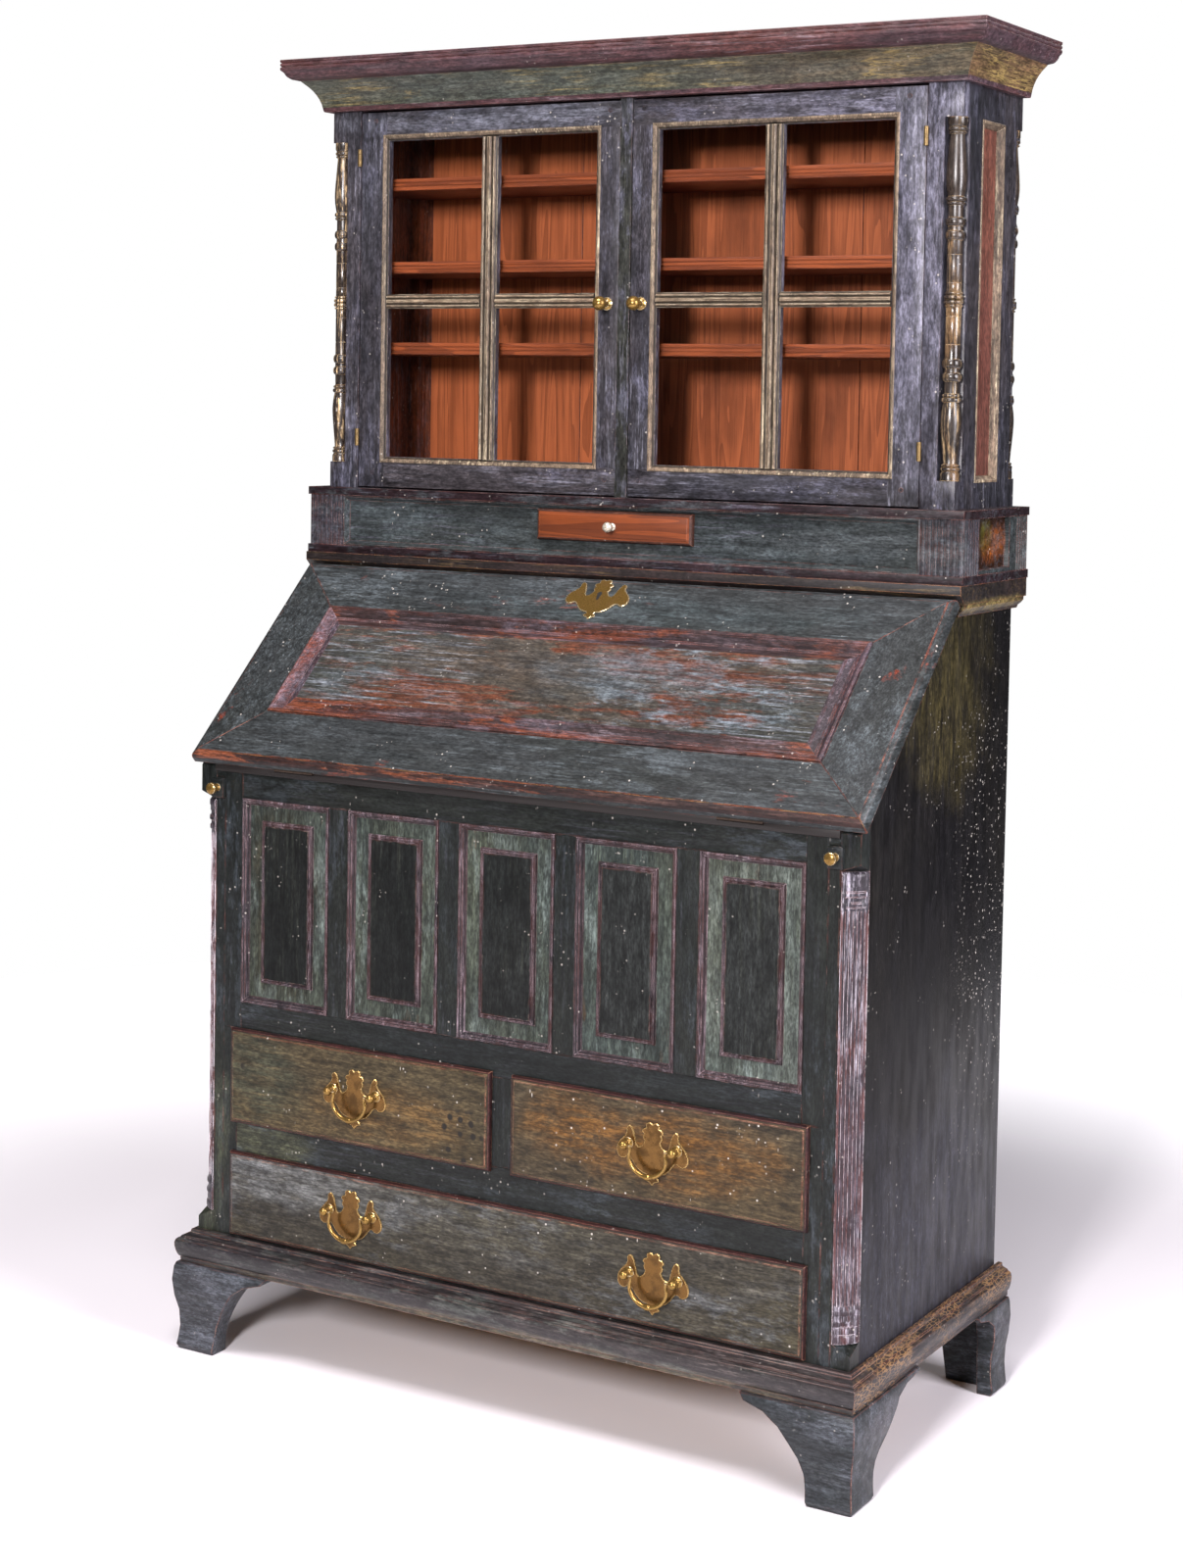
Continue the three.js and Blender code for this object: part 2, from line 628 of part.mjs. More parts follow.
function addPull(name, x, z) {
  add(`pull_plate_${name}`, pullPlate(x, z), BRASS);
  add(`pull_bail_${name}`, bail(x, z), BRASS);
}

// ---- Drawers ------------------------------------------------------------------------------------

// A lipped drawer for an opening in a frame whose face is at y = front.
function drawer({ x, z, front, lip, proud, depth, wall }) {
  const steps = [[0, -GAP], [0, -proud * 0.6], [proud * 0.18, -proud * 0.85], [proud * 0.6, -proud], [proud * 0.6, -proud - 0.6]];
  const face = nested([x[0] - lip, x[1] + lip], [z[0] - lip, z[1] + lip], steps, (a, b, d) => [a, front + d, b]);
  const inner = [[x[0] + 1, x[1] - 1], [z[0] + 1, z[1] - 1]];
  const block = box(inner[0], [front - 1, depth], inner[1]);
  const hollow = box(
    [inner[0][0] + wall, inner[0][1] - wall],
    [front + 18, depth - wall],
    [inner[1][0] + wall, inner[1][1] + 20],
  );
  const lowSides = box([x[0] - 5, x[1] + 5], [front + 18, depth + 5], [inner[1][1] - 6, inner[1][1] + 20]);
  return join(face, cut(block, hollow, lowSides));
}

function addDrawers() {
  const large = { front: 0, lip: LIP, proud: 8, depth: 432, wall: 9 };
  const [outer, inner] = [OPEN_HALF, MID_STILE];
  add("drawer_upper_left", drawer({ ...large, x: [-outer, -inner], z: UPPER_Z }), GREEN_PAINT);
  add("drawer_upper_right", drawer({ ...large, x: [inner, outer], z: UPPER_Z }), GREEN_PAINT);
  add("drawer_lower", drawer({ ...large, x: [-outer, outer], z: LOWER_Z }), GREEN_PAINT);
  addPull("upper_left", -223, 384);
  addPull("upper_right", 223, 384);
  addPull("lower_left", -227, 223);
  addPull("lower_right", 227, 223);
}

// ---- Low case between desk and bookcase ---------------------------------------------------------

// Points along a reeded edge from a to b: each reed is a low round between two grooves.
function reeds(a, b, count) {
  const bumps = [[0.1, 1], [0.35, 0], [0.65, 0], [0.9, 1]];
  const step = (b - a) / count;
  return Array.from({ length: count }, (_, i) => bumps.map(([t, deep]) => [a + (i + t) * step, deep])).flat();
}

function reededPosts() {
  const x0 = MID_HALF - REED_WIDE;
  const y1 = MID_FRONT + REED_SIDE;
  const front = reeds(x0, MID_HALF, 7).map(([x, deep]) => [x, MID_FRONT + deep * REED_DEEP]);
  const side = reeds(MID_FRONT, y1, 7).map(([y, deep]) => [MID_HALF - deep * REED_DEEP, y]);
  const frontPost = [[x0, y1], [x0, MID_FRONT + REED_DEEP], ...front, ...side, [MID_HALF - REED_DEEP, y1]];
  const yRear = MID_REAR - REED_REAR;
  const rearSide = reeds(yRear, MID_REAR, 5).map(([y, deep]) => [MID_HALF - deep * REED_DEEP, y]);
  const rearPost = [[480, MID_REAR], [480, yRear], ...rearSide, [MID_HALF - REED_DEEP, MID_REAR]];
  return [frontPost, rearPost].map((plan) => prism("z", plan, [MID_CORE[0] - 1, MID_CORE[1] + 1]));
}

function addMidCase() {
  const over = 1.5; // overhang of its top and bottom boards
  const plan = [[-MID_HALF - over, MID_HALF + over], [MID_FRONT - over, MID_REAR]];
  const low = box(...plan, [MID_Z[0], MID_Z[0] + MID_BOARD]);
  const high = box(...plan, [MID_Z[1] - MID_BOARD, MID_Z[1]]);
  const core = [MID_CORE[0] - 1, MID_CORE[1] + 1];
  const inner = MID_HALF - REED_WIDE;
  const sunk = MID_FRONT + 8;
  const front = box([-inner - 1, inner + 1], [sunk, sunk + 12], core);
  const back = box([-490, 490], [MID_REAR - 12, MID_REAR - 1], core);
  const ribs = [[0, sunk + 1], [0, MID_FRONT + 1], [2, MID_FRONT], [7, sunk], [7, sunk + 1]];
  const border = nested([-inner, inner], MID_CORE, ribs, facing, true);
  const pieces = [border, ...reededPosts()];
  const sideY = [MID_FRONT + REED_SIDE - 1, MID_REAR - REED_REAR + 1];
  pieces.push(box([482, 492], sideY, core));
  pieces.push(box([482, MID_HALF - 1], [414, sideY[1]], core));
  pieces.push(box([482, MID_HALF - 1], [sideY[0], 416], [MID_CORE[0] - 1, MID_CORE[0] + 6]));
  const { half, z } = MID_DRAWER;
  const opening = box([-half, half], [sunk - 20, sunk + 20], z);
  const whole = join(low, high, front, back, ...pieces, ...pieces.map(mirrored));
  add("mid_case", cut(whole, opening), BLUE_PAINT);
  const tray = { x: [-half, half], z, front: sunk, lip: 5.5, proud: 9, depth: 450, wall: 6 };
  add("mid_drawer", drawer(tray), RED_WOOD);
  const knob = [[0, -GAP], [5, -GAP], [3, -4], [3, -8], [6.5, -11], [7, -14], [5, -17.5], [0, -18.5]];
  add("mid_drawer_knob", turned(knob, [0, sunk - 9.6, 1134], "y", 12), BRASS);
}

// ---- Bookcase -----------------------------------------------------------------------------------

function sidePanelBoard() {
  const thick = [462, BOOK_HALF];
  const y = [BOOK_FRONT + NOTCH_DEEP, BOOK_REAR - 18];
  const board = box(thick, y, BOOK_Z);
  const place = (a, b, out) => [out, a, b];
  const past = 3;
  const steps = [[-past, BOOK_HALF + past], [0, BOOK_HALF], [8, 471], [8.5, 470]];
  return cut(board, nested(SIDE_PANEL.y, SIDE_PANEL.z, steps, place));
}

function addBookcase() {
  const [low, high] = BOOK_Z;
  const inNotch = BOOK_HALF - NOTCH;
  const stileBack = BOOK_FRONT + NOTCH_DEEP;
  const slabPlan = [[-463, 463], [stileBack + 1, BOOK_REAR]];
  const slabs = [box(...slabPlan, [low, low + 16]), box(...slabPlan, [high - 16, high])];
  const centre = box([-CENTRE_HALF, CENTRE_HALF], [BOOK_FRONT - 1.5, stileBack + 5], BOOK_Z);
  const back = box([-450, 450], [BOOK_REAR - 12, BOOK_REAR], BOOK_Z);
  const right = [
    sidePanelBoard(),
    box([STILE_IN, inNotch], [BOOK_FRONT, stileBack], BOOK_Z),
    box([STILE_IN + 4, 463], [stileBack, stileBack + 12], BOOK_Z),
    box([inNotch - 10, 463], [BOOK_REAR - 30, BOOK_REAR - 18], BOOK_Z),
    box([inNotch - 12, inNotch], [BOOK_REAR - 18, BOOK_REAR], BOOK_Z),
  ];
  for (const y of [[BOOK_FRONT, stileBack + 1], [BOOK_REAR - 19, BOOK_REAR]]) {
    right.push(box([inNotch - 1, BOOK_HALF], y, [low, low + BLOCK_TALL[0]]));
    right.push(box([inNotch - 1, BOOK_HALF], y, [high - BLOCK_TALL[1], high]));
  }
  right.push(splitColonnette(BOOK_REAR - 10, [BOOK_REAR - 19, BOOK_REAR], 1));
  add("bookcase_case", join(...slabs, centre, back, ...right, ...right.map(mirrored)), BLUE_PAINT);
  const front = splitColonnette(BOOK_FRONT + 10, [BOOK_FRONT - 10, stileBack - GAP], GAP);
  addPair("colonnette", front, DARK_PAINT);
  SHELF_TOPS.forEach((top, i) => {
    const shelf = box([-461.5, 461.5], [303, BOOK_REAR - 12.5], [top - SHELF_THICK, top]);
    const corners = [[436, 500], [300, stileBack + 12.5]];
    const tool = box(...corners, [top - 40, top + 40]);
    const rearTool = box([442, 500], [BOOK_REAR - 30.5, BOOK_REAR], [top - 40, top + 40]);
    const fitted = cut(shelf, tool, mirrored(tool), rearTool, mirrored(rearTool));
    add(`bookcase_shelf_${i + 1}`, fitted, RED_WOOD);
  });
}

// One half of a colonnette from its middle up: [radius, height above the middle].
const TURNING = [
  [12.6, 0], [12.6, 3], [9.8, 6], [9.8, 73], [12.4, 80], [9.8, 88], [12.6, 97], [9.8, 107],
  [10, 118], [12.6, 122], [12.6, 127], [10.6, 131], [13, 151], [9.2, 205], [12.2, 212], [12, 218],
];

function colonnette(x, y, gap) {
  const [low, high] = [BOOK_Z[0] + BLOCK_TALL[0] + gap, BOOK_Z[1] - BLOCK_TALL[1] - gap];
  const middle = (low + high) / 2;
  const upper = [...TURNING, [12, high - middle]];
  const lower = upper.slice(1).map(([r, t]) => [r, -t]).reverse();
  const whole = [[0, low - middle], ...lower, ...upper, [0, high - middle]];
  return turned(whole, [x, y, middle], "z", 10);
}

// A colonnette flattened where it stands against the case, as a split turning is.
function splitColonnette(y, [low, high], gap) {
  const block = box([BOOK_HALF - NOTCH + gap, 500], [low, high], BOOK_Z);
  return common(colonnette(BOOK_HALF - NOTCH / 2 + 1, y, gap), block);
}

function addCornice() {
  const [low, high] = [BOOK_Z[1], 1775];
  const profile = [
    [-14, low], [9.5, low], [10.8, 1711], [13, 1721], [17.5, 1731], [23.5, 1741], [29, 1748.5], [32, 1753],
    [43, 1755], [48, 1758], [51.5, 1761], [51.5, 1765], [50, 1766], [51.5, 1767.5], [51.5, 1770],
    [50, 1771], [51.5, 1772], [51.5, high], [-14, high],
  ];
  const moulding = threeSides(BOOK_HALF, BOOK_FRONT, BOOK_REAR + 2, profile, 1.17);
  const cover = box([-470, 470], [280, BOOK_REAR + 2], [1752, 1764]);
  add("cornice", join(moulding, cover), GREEN_PAINT);
}

// ---- Doors --------------------------------------------------------------------------------------

const HINGE = { x: 431.75, y: 271.2, r: 3, leaf: [431.3, 432.2] };
const HINGE_SPANS = { upper: [1627, 1651], lower: [1233, 1257] };

function doorFrame() {
  const outline = rectangle(DOOR.x, DOOR.z);
  const panes = PANE_Z.flatMap((z) => PANE_X.map((x) => rectangle(x, z)));
  const x = [PANE_X[0][0] - DOOR_MOULD, PANE_X[1][1] + DOOR_MOULD];
  const z = [PANE_Z[0][0] - DOOR_MOULD, PANE_Z[1][1] + DOOR_MOULD];
  const thick = prism("y", outline, DOOR.y, [rectangle(x, z)]);
  const thin = prism("y", rectangle([x[0] - 1, x[1] + 1], [z[0] - 1, z[1] + 1]), [279, 288], panes);
  const slope = [[-1, 282], [-1, 276], [0, 276], [DOOR_MOULD - 1, 280], [DOOR_MOULD - 1, 282]];
  const border = nested(x, z, slope, facing, true);
  return join(thick, thin, border);
}

function addDoors() {
  addPair("door_frame", doorFrame(), BLUE_PAINT);
  const glassX = [PANE_X[0][0] - DOOR_MOULD + 1, PANE_X[1][1] + DOOR_MOULD - 1];
  const glassZ = [PANE_Z[0][0] - DOOR_MOULD + 1, PANE_Z[1][1] + DOOR_MOULD - 1];
  addPair("door_glass", box(glassX, [288 + GAP, 290.5], glassZ), GLASS);
  const knob = [
    [0, -GAP], [8, -GAP], [7.5, -2.5], [4, -4.5], [3.6, -10], [6.5, -13], [9, -17], [9.6, -21],
    [8.6, -25.5], [5, -29], [0, -30],
  ];
  addPair("door_knob", turned(knob, [26, DOOR.y[0], 1432], "y", 14), BRASS);
  for (const [place, span] of Object.entries(HINGE_SPANS)) {
    const knuckle = new THREE.CylinderGeometry(HINGE.r, HINGE.r, span[1] - span[0], 12).rotateX(Math.PI / 2);
    knuckle.translate(HINGE.x, HINGE.y, (span[0] + span[1]) / 2);
    addPair(`door_hinge_${place}`, join(knuckle, box(HINGE.leaf, [HINGE.y, 292], span)), BRASS);
  }
}

// ---- Assembly -----------------------------------------------------------------------------------

addFeet();
addBaseMoulding();
addCase();
addDeskTop();
addFrontFrame();
addColumns();
addWritingBoard();
addPigeonholes();
addLopers();
addFallFront();
addDrawers();
addMidCase();
addBookcase();
addCornice();
addDoors();

const bounds = new THREE.Box3().setFromObject(group);
group.position.y = -(bounds.min.y + bounds.max.y) / 2;

export default group;
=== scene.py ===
"""Looks for the painted slant-front secretary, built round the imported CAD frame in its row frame."""
import math

import bmesh
import bpy
from mathutils import Matrix, Vector


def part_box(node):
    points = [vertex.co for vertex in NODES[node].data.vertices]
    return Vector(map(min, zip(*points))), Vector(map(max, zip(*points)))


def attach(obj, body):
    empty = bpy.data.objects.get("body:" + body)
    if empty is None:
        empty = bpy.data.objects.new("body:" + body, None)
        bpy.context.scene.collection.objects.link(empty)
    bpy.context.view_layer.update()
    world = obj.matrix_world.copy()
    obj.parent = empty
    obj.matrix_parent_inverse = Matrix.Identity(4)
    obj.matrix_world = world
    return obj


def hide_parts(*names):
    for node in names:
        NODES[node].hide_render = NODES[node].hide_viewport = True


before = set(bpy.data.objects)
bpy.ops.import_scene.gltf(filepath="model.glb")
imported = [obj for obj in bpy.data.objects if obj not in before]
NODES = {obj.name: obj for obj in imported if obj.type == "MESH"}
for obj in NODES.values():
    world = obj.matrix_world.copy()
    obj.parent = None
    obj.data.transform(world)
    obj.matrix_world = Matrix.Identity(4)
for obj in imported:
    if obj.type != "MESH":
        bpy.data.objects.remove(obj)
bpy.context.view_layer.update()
scene = bpy.context.scene

MM = 0.001
# Plan places below are in millimetres from the front face of the desk's case, as in the CAD.
FRAME_DEPTH = 26
FRONT_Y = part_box("desk_side_right")[0].y - FRAME_DEPTH * MM
WRITE_Z, HINGE_Y, SLOPE = 805.5, -4.7, math.radians(43.1)
SIDES = ((-1, "left"), (1, "right"))


def at(x, y, z):
    """A plan place in the row frame."""
    return Vector((x * MM, FRONT_Y + y * MM, z * MM))


def on_slope(x, up_slope):
    """A place on the closed fall's inner face, in metres: across, and up from its lower edge."""
    run, rise = up_slope * math.cos(SLOPE), up_slope * math.sin(SLOPE)
    return Vector((x, FRONT_Y + HINGE_Y * MM + run, WRITE_Z * MM + rise))


# ---- Shader graphs ------------------------------------------------------------------------------


def srgb(code, factor=1.0):
    """A hex colour as linear RGB, dimmed by a factor."""
    parts = [int(code[i : i + 2], 16) / 255 for i in (0, 2, 4)]
    return tuple(factor * (c / 12.92 if c <= 0.04045 else ((c + 0.055) / 1.055) ** 2.4) for c in parts)


def along(axis, squeeze):
    """Texture scale stretched along an axis."""
    return tuple(squeeze if letter == axis else 1.0 for letter in "xyz")


class Graph:
    """A material's node tree with short calls for the nodes used here. Its grain runs along an axis."""

    def __init__(self, name, axis="z", offset=(0, 0, 0)):
        self.material = bpy.data.materials.new(name)
        self.material.use_nodes = True
        self.tree = self.material.node_tree
        self.shader = self.tree.nodes["Principled BSDF"]
        self.coord = self.tree.nodes.new("ShaderNodeTexCoord").outputs["Object"]
        self.sample, self.axis, self.offset = self.coord, axis, offset
        self.colour = None

    def new(self, kind, inputs=(), **props):
        node = self.tree.nodes.new("ShaderNode" + kind)
        for key, value in props.items():
            setattr(node, key, value)
        for key, value in dict(inputs).items():
            self.put(node.inputs[key], value)
        return node

    def put(self, socket, value):
        """Links or sets a socket. A string is a hex colour."""
        if isinstance(value, str):
            value = srgb(value)
        if isinstance(value, bpy.types.NodeSocket):
            self.tree.links.new(value, socket)
        elif socket.type == "RGBA" and len(value) == 3:
            socket.default_value = (*value, 1)
        else:
            socket.default_value = value

    def math(self, op, a, b=0.0, clamp=False):
        return self.new("Math", {0: a, 1: b}, operation=op, use_clamp=clamp).outputs[0]

    def vector(self, op, inputs, output=0):
        return self.new("VectorMath", inputs, operation=op).outputs[output]

    def scaled(self, scale, shift=(0, 0, 0)):
        return self.new("Mapping", {"Vector": self.sample, "Scale": scale, "Location": shift}).outputs[0]

    def turn_grain(self, boxes):
        """Swaps across and up for the textures inside some boxes, where the grain runs the other way."""
        turned = self.new("Mapping", {"Vector": self.coord, "Rotation": (0, math.pi / 2, 0)}).outputs[0]
        for low, high in boxes:
            inputs = {0: self.within(low, high), 4: self.sample, 5: turned}
            self.sample = self.new("Mix", inputs, data_type="VECTOR").outputs[1]

    def noise(self, vector, scale, detail=3.0, rough=0.55, distortion=0.0, output="Fac"):
        inputs = {
            "Vector": vector, "Scale": scale, "Detail": detail, "Roughness": rough, "Distortion": distortion}
        return self.new("TexNoise", inputs).outputs[output]

    def drawn(self, squeeze, scale, detail=3.0, rough=0.55, distortion=0.0, offset=None):
        """Noise drawn out along the grain."""
        place = self.scaled(along(self.axis, squeeze), offset or self.offset)
        return self.noise(place, scale, detail, rough, distortion)

    def dots(self, vector, scale, size):
        """Round dots, one to a cell: 1 inside them."""
        cell = self.new("TexVoronoi", {"Vector": vector, "Scale": scale, "Randomness": 1.0})
        return self.span(cell.outputs["Distance"], size, size * 0.6)

    def span(self, value, low, high, to_low=0.0, to_high=1.0):
        """value from low..high to to_low..to_high, held at the ends, with a smooth step."""
        inputs = {"Value": value, "From Min": low, "From Max": high, "To Min": to_low, "To Max": to_high}
        return self.new("MapRange", inputs, interpolation_type="SMOOTHSTEP").outputs["Result"]

    def mix(self, fac, a, b):
        return self.new("Mix", {0: fac, 6: a, 7: b}, data_type="RGBA").outputs[2]

    def times(self, *values):
        product = values[0]
        for value in values[1:]:
            product = self.math("MULTIPLY", product, value)
        return product

    def stain(self, mask, colour):
        """Covers the colour so far with another where the mask is 1."""
        self.colour = self.mix(mask, self.colour, colour)

    def shade(self, factor):
        """Makes the colour so far lighter or darker."""
        self.colour = self.vector("SCALE", {0: self.colour, "Scale": factor})

    def cloud(self, centre, radii, ragged=0.6):
        """A soft uneven patch round a place of the row frame: 1 in its middle, 0 past its radii."""
        away = self.vector("SUBTRACT", {0: self.coord, 1: centre})
        far = self.vector("LENGTH", {0: self.vector("DIVIDE", {0: away, 1: radii})}, "Value")
        uneven = self.times(self.math("SUBTRACT", self.noise(self.coord, 11, 4, 0.65), 0.5), ragged * 2)
        return self.span(self.math("ADD", far, uneven), 1.0, 0.35)

    def within(self, low, high):
        """1 inside a box of the row frame, 0 outside it. None leaves a side open."""
        xyz = self.new("SeparateXYZ", {0: self.coord}).outputs
        limits = [
            (op, i, end[i]) for op, end in (("GREATER_THAN", low), ("LESS_THAN", high)) for i in range(3)]
        return self.times(*[self.math(op, xyz[i], limit) for op, i, limit in limits if limit is not None])

    def edges(self, radius):
        """How far the surface turns within a radius in millimetres: 0 on flats, up to 1 on sharp edges."""
        soft = self.new("Bevel", {"Radius": radius * MM}, samples=4).outputs[0]
        true = self.new("NewGeometry").outputs["Normal"]
        return self.span(self.vector("DOT_PRODUCT", {0: soft, 1: true}, "Value"), 0.999, 0.93)

    def set(self, **values):
        """Sets inputs of the shader, named with _ for each space."""
        for key, value in values.items():
            self.put(self.shader.inputs[key.replace("_", " ")], value)

    def surface(self, roughness, height, strength, distance, **values):
        """The finished material, with a bump whose distance is in millimetres."""
        bump = self.new("Bump", {"Strength": strength, "Distance": distance * MM, "Height": height})
        self.set(Base_Color=self.colour, Roughness=roughness, Normal=bump.outputs[0], **values)
        return self.material


def crackled(g, amount, squeeze, size):
    """A net of cracks in old varnish, drawn out along the grain and broken into zones."""
    wander = g.noise(g.scaled((1, 1, 1), g.offset), 60.0, 2.0, 0.5, output="Color")
    inputs = {0: 0.004, 4: g.scaled(along(g.axis, squeeze), g.offset), 5: wander}
    warped = g.new("Mix", inputs, data_type="VECTOR").outputs[1]
    cell = g.new("TexVoronoi", {"Vector": warped, "Scale": size}, feature="DISTANCE_TO_EDGE").outputs[0]
    zone = g.span(g.drawn(0.4, 16, 4, 0.7), 0.62 - 0.3 * amount, 0.7 - 0.2 * amount)
    return g.times(g.span(cell, 0.13, 0.03), zone)


def painted(
    name, axis, tones, rub=None, chalk=None, patches=None, crackle=None, clouds=(), zones=(), painted_shade=(),
    rails=(), spots=0.0, specks=0.3, speck_zone=None, speck_size=1.0, wear=0.5, reach=2.6, mottle=0.4,
    rough=0.45, gloss=0.25, shift=0.0):
    """Old paint over wood. The tones are two of paint, one under it and one of bare edges. Over the paint go
    box zones (low, high, colour), patches, clouds (centre, radii, colour, amount), some of them painted
    light, rubbed streaks, chalky film, mottling, craquelure (amount, colour, squeeze, size), dark spots,
    pale specks and scratches, edges worn over a reach in millimetres, and boxes (low, high, factor) of
    painted shade, darkened by the factor. rub, chalk and patches are (colour, amount). The grain lies level
    inside the boxes of rails. Each paint has its own shift of the textures."""
    g = Graph(name, axis, (shift, shift * 0.7, shift * 1.3))
    g.turn_grain(rails)
    paint, tint, under, edge = tones
    plain = g.scaled((1, 1, 1), g.offset)
    grain = g.drawn(0.07, 190, 4, 0.65)
    fibre = g.drawn(0.03, 420, 2, 0.5)
    g.colour = g.mix(g.span(g.drawn(0.35, 6, 5, 0.65), 0.36, 0.66), paint, tint)
    for low, high, colour in zones:
        g.stain(g.within(low, high), colour)
    if patches:
        colour, amount = patches
        field = g.drawn(0.22, 15, 7, 0.76, 0.4, (shift + 5, 0, 4))
        mask = g.span(field, 0.62 - 0.16 * amount, 0.68 - 0.16 * amount)
        g.stain(g.times(mask, g.span(grain, 0.36, 0.5), 0.95), colour)
    for centre, radii, colour, amount in clouds:
        broken = g.span(g.drawn(0.2, 90, 6, 0.78), 0.38, 0.58, 0.25, 1.0)
        g.stain(g.times(g.cloud(centre, radii), broken, amount), colour)
    if rub:
        streak = g.span(g.drawn(0.05, 260, 4, 0.7, 0.0, (shift + 3, 1, 2)), 0.5, 0.66)
        g.stain(g.times(streak, g.span(g.noise(plain, 5, 3), 0.38, 0.66), rub[1]), rub[0])
    if chalk:
        film = g.span(g.drawn(0.3, 34, 8, 0.8, 0.0, (2, shift, 5)), 0.49, 0.6)
        g.stain(g.times(film, g.span(g.noise(plain, 4, 2), 0.4, 0.62, 0.15, 1.0), chalk[1]), chalk[0])
    g.shade(g.span(g.drawn(0.4, 80, 6, 0.74), 0.3, 0.72, 1 - mottle, 1 + 0.75 * mottle))
    g.shade(g.span(g.drawn(0.3, 430, 3, 0.7), 0.36, 0.66, 0.58, 1.45))
    lines = g.span(g.math("ADD", grain, g.times(fibre, 0.35)), 0.45, 0.9)
    g.shade(g.span(lines, 0, 1, 1.1, 0.62))
    height = g.times(grain, 0.5)
    if crackle:
        amount, colour, squeeze, size = crackle
        net = crackled(g, amount, squeeze, size)
        g.stain(g.times(net, min(1, amount + 0.2)), colour)
        height = g.math("SUBTRACT", height, g.times(net, 0.7))
    if spots:
        chance = g.span(g.noise(plain, 9, 2), 0.56, 0.64)
        g.stain(g.times(g.dots(plain, 62, 0.34), chance, spots), "1d1a16")
    chance = g.span(g.noise(plain, 38, 2), 0.58, 0.68)
    if speck_zone:
        thick = g.times(g.cloud(*speck_zone), g.span(grain, 0.4, 0.6))
        chance = g.math("MAXIMUM", g.times(chance, 0.4), thick)
    across = "zxy"["xyz".index(axis)]
    scratch = g.dots(g.scaled(along(across, 0.22), g.offset), 150, 0.12)
    marks = g.math("MAXIMUM", g.dots(plain, 125, 0.21 * speck_size), scratch)
    g.stain(g.times(marks, chance, specks), "b8b2aa")
    worn = g.times(g.edges(reach), g.span(g.drawn(0.5, 42, 6, 0.78), 0.58 - 0.2 * wear, 0.64 - 0.1 * wear))
    g.stain(g.times(worn, 0.9), under)
    bare = g.span(g.drawn(0.4, 75, 6, 0.78), 0.62 - 0.2 * wear, 0.68 - 0.12 * wear)
    g.stain(g.times(g.edges(reach * 0.45), bare, 0.9), edge)
    for low, high, factor in painted_shade:
        g.shade(g.span(g.within(low, high), 0, 1, 1, factor))
    roughness = g.span(g.drawn(0.2, 60, 4), 0.3, 0.7, rough - 0.06, rough + 0.1)
    roughness = g.math("ADD", roughness, g.times(worn, 0.15), clamp=True)
    return g.surface(roughness, height, 0.35, 0.5, Specular_IOR_Level=gloss)


def wood(name, axis, light, dark, rough=0.5, shift=0.0, painted_front=None):
    """Bare or stained board: growth rings seen along the grain, fibres and a few dark stains.
    The last argument is the y of the row frame in front of which the board is darkened to near black:
    painted shade, for the edge of the writing board under the fall's lip."""
    g = Graph(name, axis, (shift, shift * 0.6, shift))
    ring = g.span(g.math("FRACT", g.times(g.drawn(0.05, 26.0, 2, 0.5, 1.2), 7.0)), 0.0, 1.0)
    fibre = g.drawn(0.03, 500, 2, 0.6)
    g.colour = g.mix(g.times(ring, 0.6), light, dark)
    g.stain(g.times(g.span(fibre, 0.5, 0.8), 0.5), srgb(dark, 0.5))
    g.stain(g.times(g.span(g.drawn(0.35, 9, 5, 0.65), 0.48, 0.75), 0.7), srgb(dark, 0.6))
    g.stain(g.times(g.edges(1.5), 0.35), light)
    if painted_front is not None:
        g.stain(g.within((None,) * 3, (None, painted_front, None)), "1c1817")
    roughness = g.span(fibre, 0.3, 0.7, rough - 0.06, rough + 0.1)
    return g.surface(roughness, g.math("ADD", fibre, g.times(ring, 0.3)), 0.25, 0.4, Specular_IOR_Level=0.3)


def brass(name, light, dark, rubbed):
    """Old brass: patches of patina over the metal, and edges rubbed bright."""
    g = Graph(name)
    patina = g.span(g.noise(g.coord, 55, 5, 0.7), 0.4, 0.7)
    g.colour = g.mix(g.times(patina, 0.7), light, dark)
    g.stain(g.times(g.edges(1.2), 0.9), rubbed)
    return g.surface(g.span(patina, 0, 1, 0.22, 0.4), g.noise(g.coord, 120, 3), 0.1, 0.3, Metallic=0.75)


def glass():
    """Old window glass: mostly clear, with a weak rippled reflection."""
    g = Graph("window_glass")
    ripple = g.noise(g.scaled((1, 1, 0.5)), 9, 2)
    g.colour = (0.95, 0.98, 0.97)
    g.surface(0.03, ripple, 0.05, 2, IOR=1.3, Transmission_Weight=1.0)
    clear = g.new("BsdfTransparent", {"Color": (0.97, 0.98, 0.975)}).outputs[0]
    share = g.span(ripple, 0, 1, 0.03, 0.06)
    mixed = g.new("MixShader", {0: share, 1: clear, 2: g.shader.outputs[0]})
    g.put(g.tree.nodes["Material Output"].inputs["Surface"], mixed.outputs[0])
    return g.material


def plain_finish(name, colour, rough, metal=0.0):
    """A small plain finish with a little unevenness in its tone."""
    g = Graph(name)
    dull = g.span(g.noise(g.coord, 160, 3), 0.4, 0.7)
    tone = g.mix(dull, colour, srgb(colour, 0.6))
    g.set(Base_Color=tone, Metallic=metal, Roughness=g.span(dull, 0, 1, rough, rough + 0.15))
    return g.material


# ---- Materials ----------------------------------------------------------------------------------

M = {}
FAR = 9.0  # a radius, in metres, that leaves a direction out of a cloud

